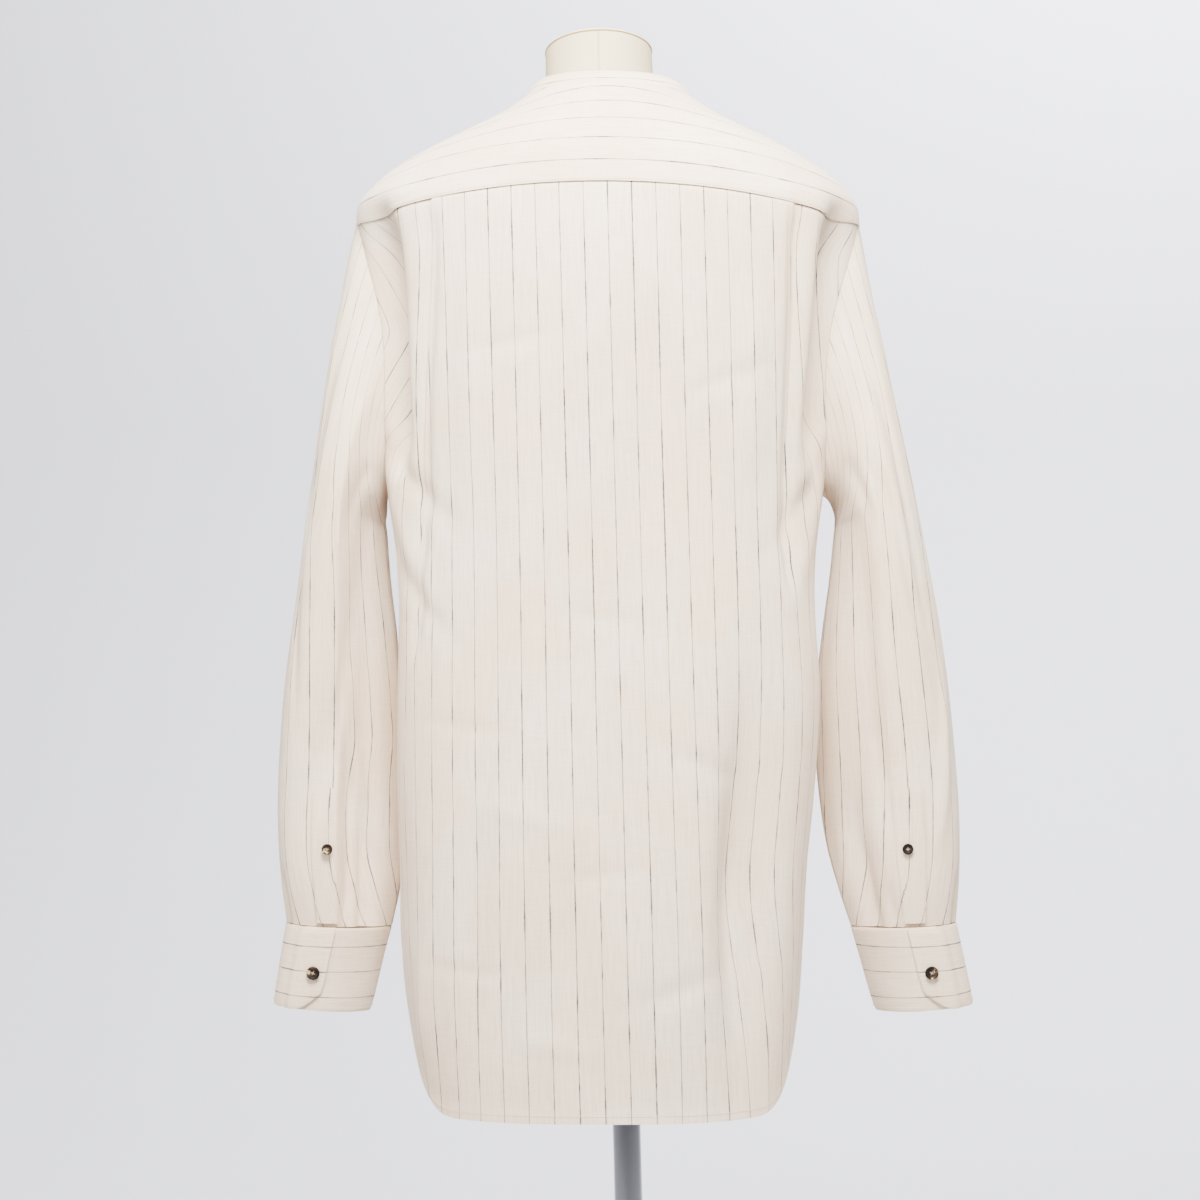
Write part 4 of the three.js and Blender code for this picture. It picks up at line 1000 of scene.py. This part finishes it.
def make_cuff(side, word):
    stops = (CUFF_EDGE - CUFF_LAP, CUFF_END - CUFF_END_FINE, CUFF_END)
    place = steps_between(stops, CUFF_NET[:2])[:, None]
    share = np.linspace(0, 1, CUFF_NET[2])[None, :]
    to_end = CUFF_END - place
    over = CUFF_LAP_RISE * smoothstep(-to_end, -CUFF_LAP - CUFF_LAP_EASE, -CUFF_LAP)
    in_corner = np.clip(CUFF_CORNER - np.radians(to_end) * WRIST_R, 0, CUFF_CORNER)
    cut = CUFF_CORNER - np.sqrt(CUFF_CORNER**2 - in_corner**2)
    ring = share * 2 * (1 - cut / CUFF_DEEP)
    edge = np.minimum(share, 1 - share) * CUFF_DEEP
    soft = -CUFF_EDGE_DEEP * (1 - smoothstep(edge, 0, CUFF_EDGE_WIDE))
    soft = soft + CUFF_SEAM_DEEP * smoothstep(edge, *CUFF_SEAM) - CUFF_SEAM_DEEP
    grid = cuff_point(side, place + 0 * share, ring, over + soft)
    middle = np.stack([ring_middle(CUFF, side, row) for row in ring])
    run = arcs(grid)
    v = np.interp(ring, CUFF_RINGS, CUFF_RUN)
    uvs = np.stack([run, v + CUFF_STRIPE_AT], axis=-1)
    node = f"cuff_{word}"
    sew(f"shirt_{node}", node, grid, uvs, STRIPED_ACROSS, middle, thickness=BAND_CLOTH)


PLACKET = {"top": 10.75, "foot": 13.9, "from": 79, "to": 95, "out": 2.2}


def make_placket(side, word, sleeve_u):
    place = np.linspace(PLACKET["from"], PLACKET["to"], PLACKET_NET[0])[:, None]
    ring = np.linspace(PLACKET["top"], PLACKET["foot"], PLACKET_NET[1])[None, :]
    grid = sleeve_point(side, place + 0 * ring, ring + 0 * place, PLACKET["out"])
    middle = ring_middle(SLEEVE, side, ring[0])[None] + 0 * grid
    columns = np.rint(ring[0] / SLEEVE_RINGS * (sleeve_u.shape[1] - 1)).astype(int)
    around = np.linspace(-180, 180, len(sleeve_u) + 1)[:-1]
    u = np.stack([np.interp(place[:, 0], around, sleeve_u[:, c]) for c in columns], axis=-1)
    uvs = np.stack([u, -lengths(grid)], axis=-1)
    node = f"sleeve_placket_{word}"
    sew(f"shirt_placket_{word}", node, grid, uvs, STRIPED_DOWN, middle)


BAND_FROM, BAND_RAISED = 0.865, 1.6  # the band's inner edge, as a share of the front, and its height


def make_band():
    """The band on the upper front's edge, which carries the buttons."""
    shares = np.linspace(BAND_FROM, 1.0, BAND_NET[0])[:, None]
    top = front_top(front_turn(shares, YOKE_FRONT_CORNER))
    hem = hem_height(front_turn(shares, HEM_FRONT))
    z = mix(hem, top, np.linspace(0, 1, BAND_NET[1])[None, :])
    grid = torso_point(front_turn(shares, z), z, BAND_RAISED)
    run = arcs(grid)
    uvs = np.stack([run + BAND_STRIPE_AT, lengths(grid)], axis=-1)
    sew("shirt_button_band", "front_band", grid, uvs, STRIPED_DOWN, torso_middle(grid))


# ---- buttons ----
AXIS = 0.01  # how near the axis a turned profile starts and ends
# The rim's and the dish's profile: how far in from the button's edge, and how high.
BUTTON_PROFILE = (
    (0.7, 0), (0.15, 0.35), (0, 0.9), (0.15, 1.7), (0.6, 2.3), (1.1, 2.4),
    (1.6, 2.1), (2.1, 1.65), (3.0, 1.5),
)
BUTTON_DISH = 1.45
HOLE_R, HOLE_LOW, HOLE_TOP, HOLE_OFF = 0.75, 1.3, 1.62, 0.2  # off is a share of the radius
THREAD_R, THREAD_END_R, THREAD_LONG, THREAD_END = 0.24, 0.2, 0.26, 0.24  # as shares too
FRONT_OF_BODY_Y = -20  # buttons nearer the front than this face -Y


def lathe_points(profile, segments):
    angles = np.linspace(0, 2 * np.pi, segments, endpoint=False)
    points, faces = [], []
    for radius, height in profile:
        points += [(radius * math.cos(a), radius * math.sin(a), height) for a in angles]
    for j in range(len(profile) - 1):
        low, high = j * segments, (j + 1) * segments
        for i in range(segments):
            k = (i + 1) % segments
            faces.append([low + i, low + k, high + k, high + i])
    return points, faces


def turned(name, profile, segments, material, node=None, place=None):
    """A piece turned about an upright axis; its profile starts and ends on the axis."""
    points, faces = lathe_points(profile, segments)
    piece = build_mesh(name, np.array(points), faces, material, crease=TURNED_CREASE)
    if place:
        piece.data.transform(place)
    if node:
        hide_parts(node)


def moved(x, y, z):
    return Matrix.Translation(Vector((x, y, z)) * MM)


def button_place(node, spin):
    """The foot of a button's CAD node, turned so that +Z points out of the cloth."""
    points = np.array([v.co[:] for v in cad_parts[node].data.vertices]) / MM
    middle = points.mean(axis=0)
    _, _, axes = np.linalg.svd(points - middle)
    out = axes[2]
    facing = 1.0 if middle[1] > FRONT_OF_BODY_Y else -1.0
    if out[1] * facing < 0:
        out = -out
    base = middle + out * ((points - middle) @ out).min()
    aim = Vector(out).to_track_quat("Z", "Y").to_matrix().to_4x4()
    return moved(*base) @ aim @ Matrix.Rotation(spin, 4, "Z")


def make_button(name, node, radius, spin=0.0):
    """A horn button laid over its CAD node: rim, dish, four holes shown as near-black discs of painted
    shade, and crossed thread.
    """
    place = button_place(node, spin)
    rim = [(radius - inset, height) for inset, height in BUTTON_PROFILE]
    turned(name, [(AXIS, 0), *rim, (AXIS, BUTTON_DISH)], ROUND["button"], HORN, node, place)
    # Each hole is a thin near-black disc just above the dish: painted shade for the hole.
    hole = [(AXIS, HOLE_LOW), (HOLE_R, HOLE_LOW), (HOLE_R, HOLE_TOP), (AXIS, HOLE_TOP)]
    off = radius * HOLE_OFF
    for i, (sx, sy) in enumerate(((-1, -1), (-1, 1), (1, -1), (1, 1))):
        at = place @ moved(sx * off, sy * off, 0)
        turned(f"{name}_hole{i}", hole, ROUND["hole"], HOLE_SHADE, place=at)
    half, end = radius * THREAD_LONG, radius * THREAD_END
    bar = [(AXIS, -half), (THREAD_END_R, -end), (THREAD_R, 0), (THREAD_END_R, end), (AXIS, half)]
    for angle in (45, 135):
        across = Matrix.Rotation(math.radians(angle), 4, "Z") @ Matrix.Rotation(math.pi / 2, 4, "Y")
        at = place @ moved(0, 0, HOLE_TOP) @ across
        turned(f"{name}_thread{angle}", bar, ROUND["thread"], BUTTON_THREAD, place=at)


# ---- dress form and stand ----
FORM_EDGE_LONG, FORM_SHOULDER = 28, 1330
COVER_SEAM_DEEP, COVER_SEAM_WIDE = 1.1, 0.8  # in mm and degrees, at the centre front and back
COVER_SEAM_TURNS = np.array([-4, -2.2, -1.2, -0.6, 0, 0.6, 1.2, 2.2, 4])


def make_form():
    stops = (FORM_BOTTOM, FORM_BOTTOM + FORM_EDGE_LONG, FORM_SHOULDER, NECK_TOP)
    levels = steps_between(stops, (14, 90, 60))
    seam, side = COVER_SEAM_TURNS, np.linspace(4, 176, 46)[1:-1]
    turn, z = np.meshgrid(np.concatenate([seam, side, seam + 180, side + 180]), levels, indexing="ij")
    dip = bell(wrap(turn), COVER_SEAM_WIDE) + bell(wrap(turn - 180), COVER_SEAM_WIDE)
    reach = section_reach(FORM, turn, z) - COVER_SEAM_DEEP * dip
    x, y = reach * np.sin(np.radians(turn)), reach * np.cos(np.radians(turn))
    tilt = NECK_TILT * smoothstep(z, NECK_TILT_FOOT, NECK_TOP)
    points = np.stack([x, y, z + tilt * y], axis=-1).reshape(-1, 3)
    columns = len(turn)
    index = net_index(*turn.shape, True)
    faces = quads(index[1:, :-1], index[1:, 1:], index[:-1, 1:], index[:-1, :-1]).tolist()
    hub = len(points)
    points = np.concatenate([points, [[0, 0, float(FORM_BOTTOM)], [0, 0, float(NECK_TOP)]]])
    faces += [[index[i, 0], index[i + 1, 0], hub] for i in range(columns)]
    faces += [[index[i + 1, -1], index[i, -1], hub + 1] for i in range(columns)]
    piece = build_mesh("form_cover", points, faces, COVER, crease=FORM_CREASE)
    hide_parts("form")


CAP_GROOVE = ((2.2, 0), (1.4, 0.9))  # the dark line under the cap: in from its edge, and up


def make_cap():
    profile = [(AXIS, 0), *[(CAP_R - inset, up) for inset, up in CAP_GROOVE], (CAP_R, CAP_RIM)]
    for angle in np.radians(np.linspace(6, 88, 16)):
        profile.append((CAP_R * math.cos(angle), CAP_RIM + CAP_RISE * math.sin(angle)))
    profile.append((AXIS, CAP_RIM + CAP_RISE))
    place = moved(0, 0, NECK_TOP + STAND_GAP) @ Matrix.Rotation(math.atan(NECK_TILT), 4, "X")
    turned("neck_cap_cover", profile, ROUND["cap"], COVER, "neck_cap", place)


STAND_GAP, POLE_EDGE = 0.3, 0.5
# The base from its rim in to the pole's socket: radius and height.
BASE_PROFILE = (
    (BASE_R - 1, 0), (BASE_R, 1), (BASE_R, 5), (BASE_R - 0.7, 6.4), (BASE_R - 2, 7),
    (100, 9.4), (40, 12), (30, 13.2), (24, BASE_H),
)


def make_stand():
    foot, top = BASE_H + STAND_GAP, FORM_BOTTOM - STAND_GAP
    inner = POLE_R - POLE_EDGE
    pole = [(AXIS, foot), (inner, foot), (POLE_R, foot + POLE_EDGE)]
    pole += [(POLE_R, top - POLE_EDGE), (inner, top), (AXIS, top)]
    turned("pole_tube", pole, ROUND["pole"], CHROME, "pole")
    base = [(AXIS, 0), *BASE_PROFILE, (AXIS, BASE_H)]
    turned("base_plate", base, ROUND["base"], CHROME, "base")


# ---- camera, light and floor ----
CAMERA_BACK, CAMERA_HEIGHT = 2.25, 1.02
CAMERA_FIELD = math.radians(24.67)
CAMERA_ROLL = math.radians(1.495)
CAMERA_SHIFT = -12.9 / 1200
SKY_LEFT, SKY_RIGHT = 0.25, 0.6  # strength of the room's light on either side


def make_camera():
    data = bpy.data.cameras.new("camera")
    data.sensor_fit = "HORIZONTAL"
    data.angle = CAMERA_FIELD
    data.shift_x = CAMERA_SHIFT
    camera = add_object("camera", data)
    c, s = math.cos(CAMERA_ROLL), math.sin(CAMERA_ROLL)
    axes = Matrix(((-c, -s, 0), (0, 0, 1), (-s, c, 0)))
    camera.matrix_world = Matrix.Translation((0, CAMERA_BACK, CAMERA_HEIGHT)) @ axes.to_4x4()
    bpy.context.scene.camera = camera


def area_light(name, place, target, size, power, colour):
    data = bpy.data.lights.new(name, "AREA")
    data.shape = "RECTANGLE"
    data.size, data.size_y = size
    data.energy = power
    data.color = colour
    lamp = add_object(name, data)
    lamp.location = place
    aim = Vector(target) - Vector(place)
    lamp.rotation_euler = aim.to_track_quat("-Z", "Y").to_euler()


SKY_COLOUR = (0.90, 0.905, 0.94, 1)
SKY_RAMP = {"From Min": -0.9, "From Max": 0.9, "To Min": SKY_RIGHT, "To Max": SKY_LEFT}
WARM, COOL = (1.0, 0.985, 0.965), (0.97, 0.98, 1.0)
LIGHTS = (  # name, place, target, size, power, colour
    ("key", (-0.05, 1.02, 2.34), (0, 0, 1.42), (0.8, 0.6), 205, WARM),
    ("side", (2.0, 1.5, 1.9), (0, 0, 1.35), (0.7, 0.7), 58, WARM),
    ("far_side", (-2.1, 0.9, 1.9), (-0.2, 0, 1.35), (0.6, 0.8), 30, WARM),
    ("wall", (-1.7, -2.9, 3.9), (-0.5, -4.7, 2.2), (3.4, 1.5), 570, COOL),
)
PAPER_RADIUS, PAPER_BACK, PAPER_FRONT, PAPER_TOP, PAPER_HALF = 1.5, -4.7, 5.5, 5.5, 7.0
PAPER_SINK = 0.0005  # how far the floor lies under the base


def make_studio():
    """A room with more light from one side, lamps, and a floor that curves up into a wall."""
    world = bpy.data.worlds.new("studio")
    world.use_nodes = True
    tree = world.node_tree
    sky = tree.nodes["Background"]
    look = tree.nodes.new("ShaderNodeTexCoord").outputs["Generated"]
    split = tree.nodes.new("ShaderNodeSeparateXYZ")
    tree.links.new(look, split.inputs[0])
    power = tree.nodes.new("ShaderNodeMapRange")
    tree.links.new(split.outputs["X"], power.inputs["Value"])
    for key, value in SKY_RAMP.items():
        power.inputs[key].default_value = value
    tree.links.new(power.outputs["Result"], sky.inputs["Strength"])
    sky.inputs["Color"].default_value = SKY_COLOUR
    bpy.context.scene.world = world
    for light in LIGHTS:
        area_light(*light)
    sweep = [(PAPER_FRONT, 0.0)]
    for angle in np.radians(np.linspace(0, 90, 24)):
        y = PAPER_BACK + PAPER_RADIUS * (1 - math.sin(angle))
        sweep.append((y, PAPER_RADIUS * (1 - math.cos(angle))))
    sweep.append((PAPER_BACK, PAPER_TOP))
    points = [(x, y, z - PAPER_SINK) for x in (-PAPER_HALF, PAPER_HALF) for y, z in sweep]
    count = len(sweep)
    faces = [(i, i + 1, count + i + 1, count + i) for i in range(count - 1)]
    add_object("floor", smooth_mesh("floor", points, faces, PAPER))


# ---- topstitching ----
STITCH_IN, YOKE_STITCH_RAISED = 1.6, 1.05  # up from the yoke's seam, and out of the body
HEM_STITCH, HEM_STITCH_TURNS = 6.2, {"back": 84, "front": (94, 160)}
CUFF_STITCH = {"from": 6, "to": 318, "top": 0.1, "foot": 1.93, "out": 0.1}
PLACKET_STITCH = {"below_top": 0.1, "in": 1.4, "out": 0.1}
COLLAR_STITCH = {"turn": 168, "foot": 0.13, "top": 0.87, "out": 0.1}


def outward(turn):
    angle = np.radians(turn)
    return np.stack([np.sin(angle), np.cos(angle), 0 * angle], axis=-1)


def torso_stitches(name, turn, z, raised):
    stitches(name, torso_point(turn, z, raised), outward(turn))


def ring_stitches(name, point, middle):
    stitches(name, point, unit(point - middle))


def make_stitching():
    """Topstitching along the seams, the hem, the cuffs, the plackets and the collar band."""
    edge = YOKE_CORNER_TURNS[1] - 4
    turn = np.linspace(-edge, edge, 420)
    torso_stitches("stitch_yoke", turn, yoke_seam_height(turn) + STITCH_IN, YOKE_STITCH_RAISED)
    turn = np.linspace(-HEM_STITCH_TURNS["back"], HEM_STITCH_TURNS["back"], 420)
    torso_stitches("stitch_hem_back", turn, hem_height(turn) + HEM_STITCH, HEM_RAISE)
    for side, word in ((1, "left"), (-1, "right")):
        turn = side * np.linspace(*HEM_STITCH_TURNS["front"], 200)
        name = f"stitch_hem_front_{word}"
        torso_stitches(name, turn, hem_height(turn) + HEM_STITCH, HEM_RAISE)
        place = np.linspace(CUFF_EDGE + CUFF_STITCH["from"], CUFF_EDGE + CUFF_STITCH["to"], 260)
        for where in ("top", "foot"):
            ring = CUFF_STITCH[where] + 0 * place
            point = cuff_point(side, place, ring, CUFF_STITCH["out"])
            ring_stitches(f"stitch_cuff_{where}_{word}", point, ring_middle(CUFF, side, ring))
        ring = np.linspace(PLACKET["top"] + PLACKET_STITCH["below_top"], PLACKET["foot"], 80)
        inset = PLACKET_STITCH["in"]
        for at, where in ((PLACKET["from"] + inset, "outer"), (PLACKET["to"] - inset, "inner")):
            point = sleeve_point(side, at + 0 * ring, ring, PLACKET["out"] + PLACKET_STITCH["out"])
            ring_stitches(f"stitch_placket_{where}_{word}", point, ring_middle(SLEEVE, side, ring))
    turn = np.linspace(-COLLAR_STITCH["turn"], COLLAR_STITCH["turn"], 500)
    for where in ("foot", "top"):
        line = collar_point(turn, COLLAR_STITCH[where] + 0 * turn)
        out = outward(turn)
        stitches(f"stitch_collar_{where}", line + COLLAR_STITCH["out"] * out, out)


LARGE_BUTTON_R, SMALL_BUTTON_R = 5.5, 4.5
CUFF_SPIN, SLEEVE_SPIN, FRONT_SPIN = 0.3, 0.9, 0.7  # turns of the buttons in radians


def main():
    make_camera()
    make_studio()
    make_back()
    make_front(1, "front_left")
    make_front(-1, "front_right")
    make_band()
    make_yoke()
    make_collar()
    for side, word in ((1, "left"), (-1, "right")):
        sleeve_u = make_sleeve(side, word)
        make_cuff(side, word)
        make_placket(side, word, sleeve_u)
        make_button(f"horn_cuff_{word}", f"cuff_button_{word}", LARGE_BUTTON_R, CUFF_SPIN)
        make_button(f"horn_sleeve_{word}", f"sleeve_button_{word}", SMALL_BUTTON_R, SLEEVE_SPIN)
    for i in range(FRONT_BUTTONS):
        make_button(f"horn_front_{i + 1}", f"front_button_{i + 1}", LARGE_BUTTON_R, i * FRONT_SPIN)
    make_button("horn_collar", "collar_button", SMALL_BUTTON_R)
    make_stitching()
    make_form()
    make_cap()
    make_stand()


main()
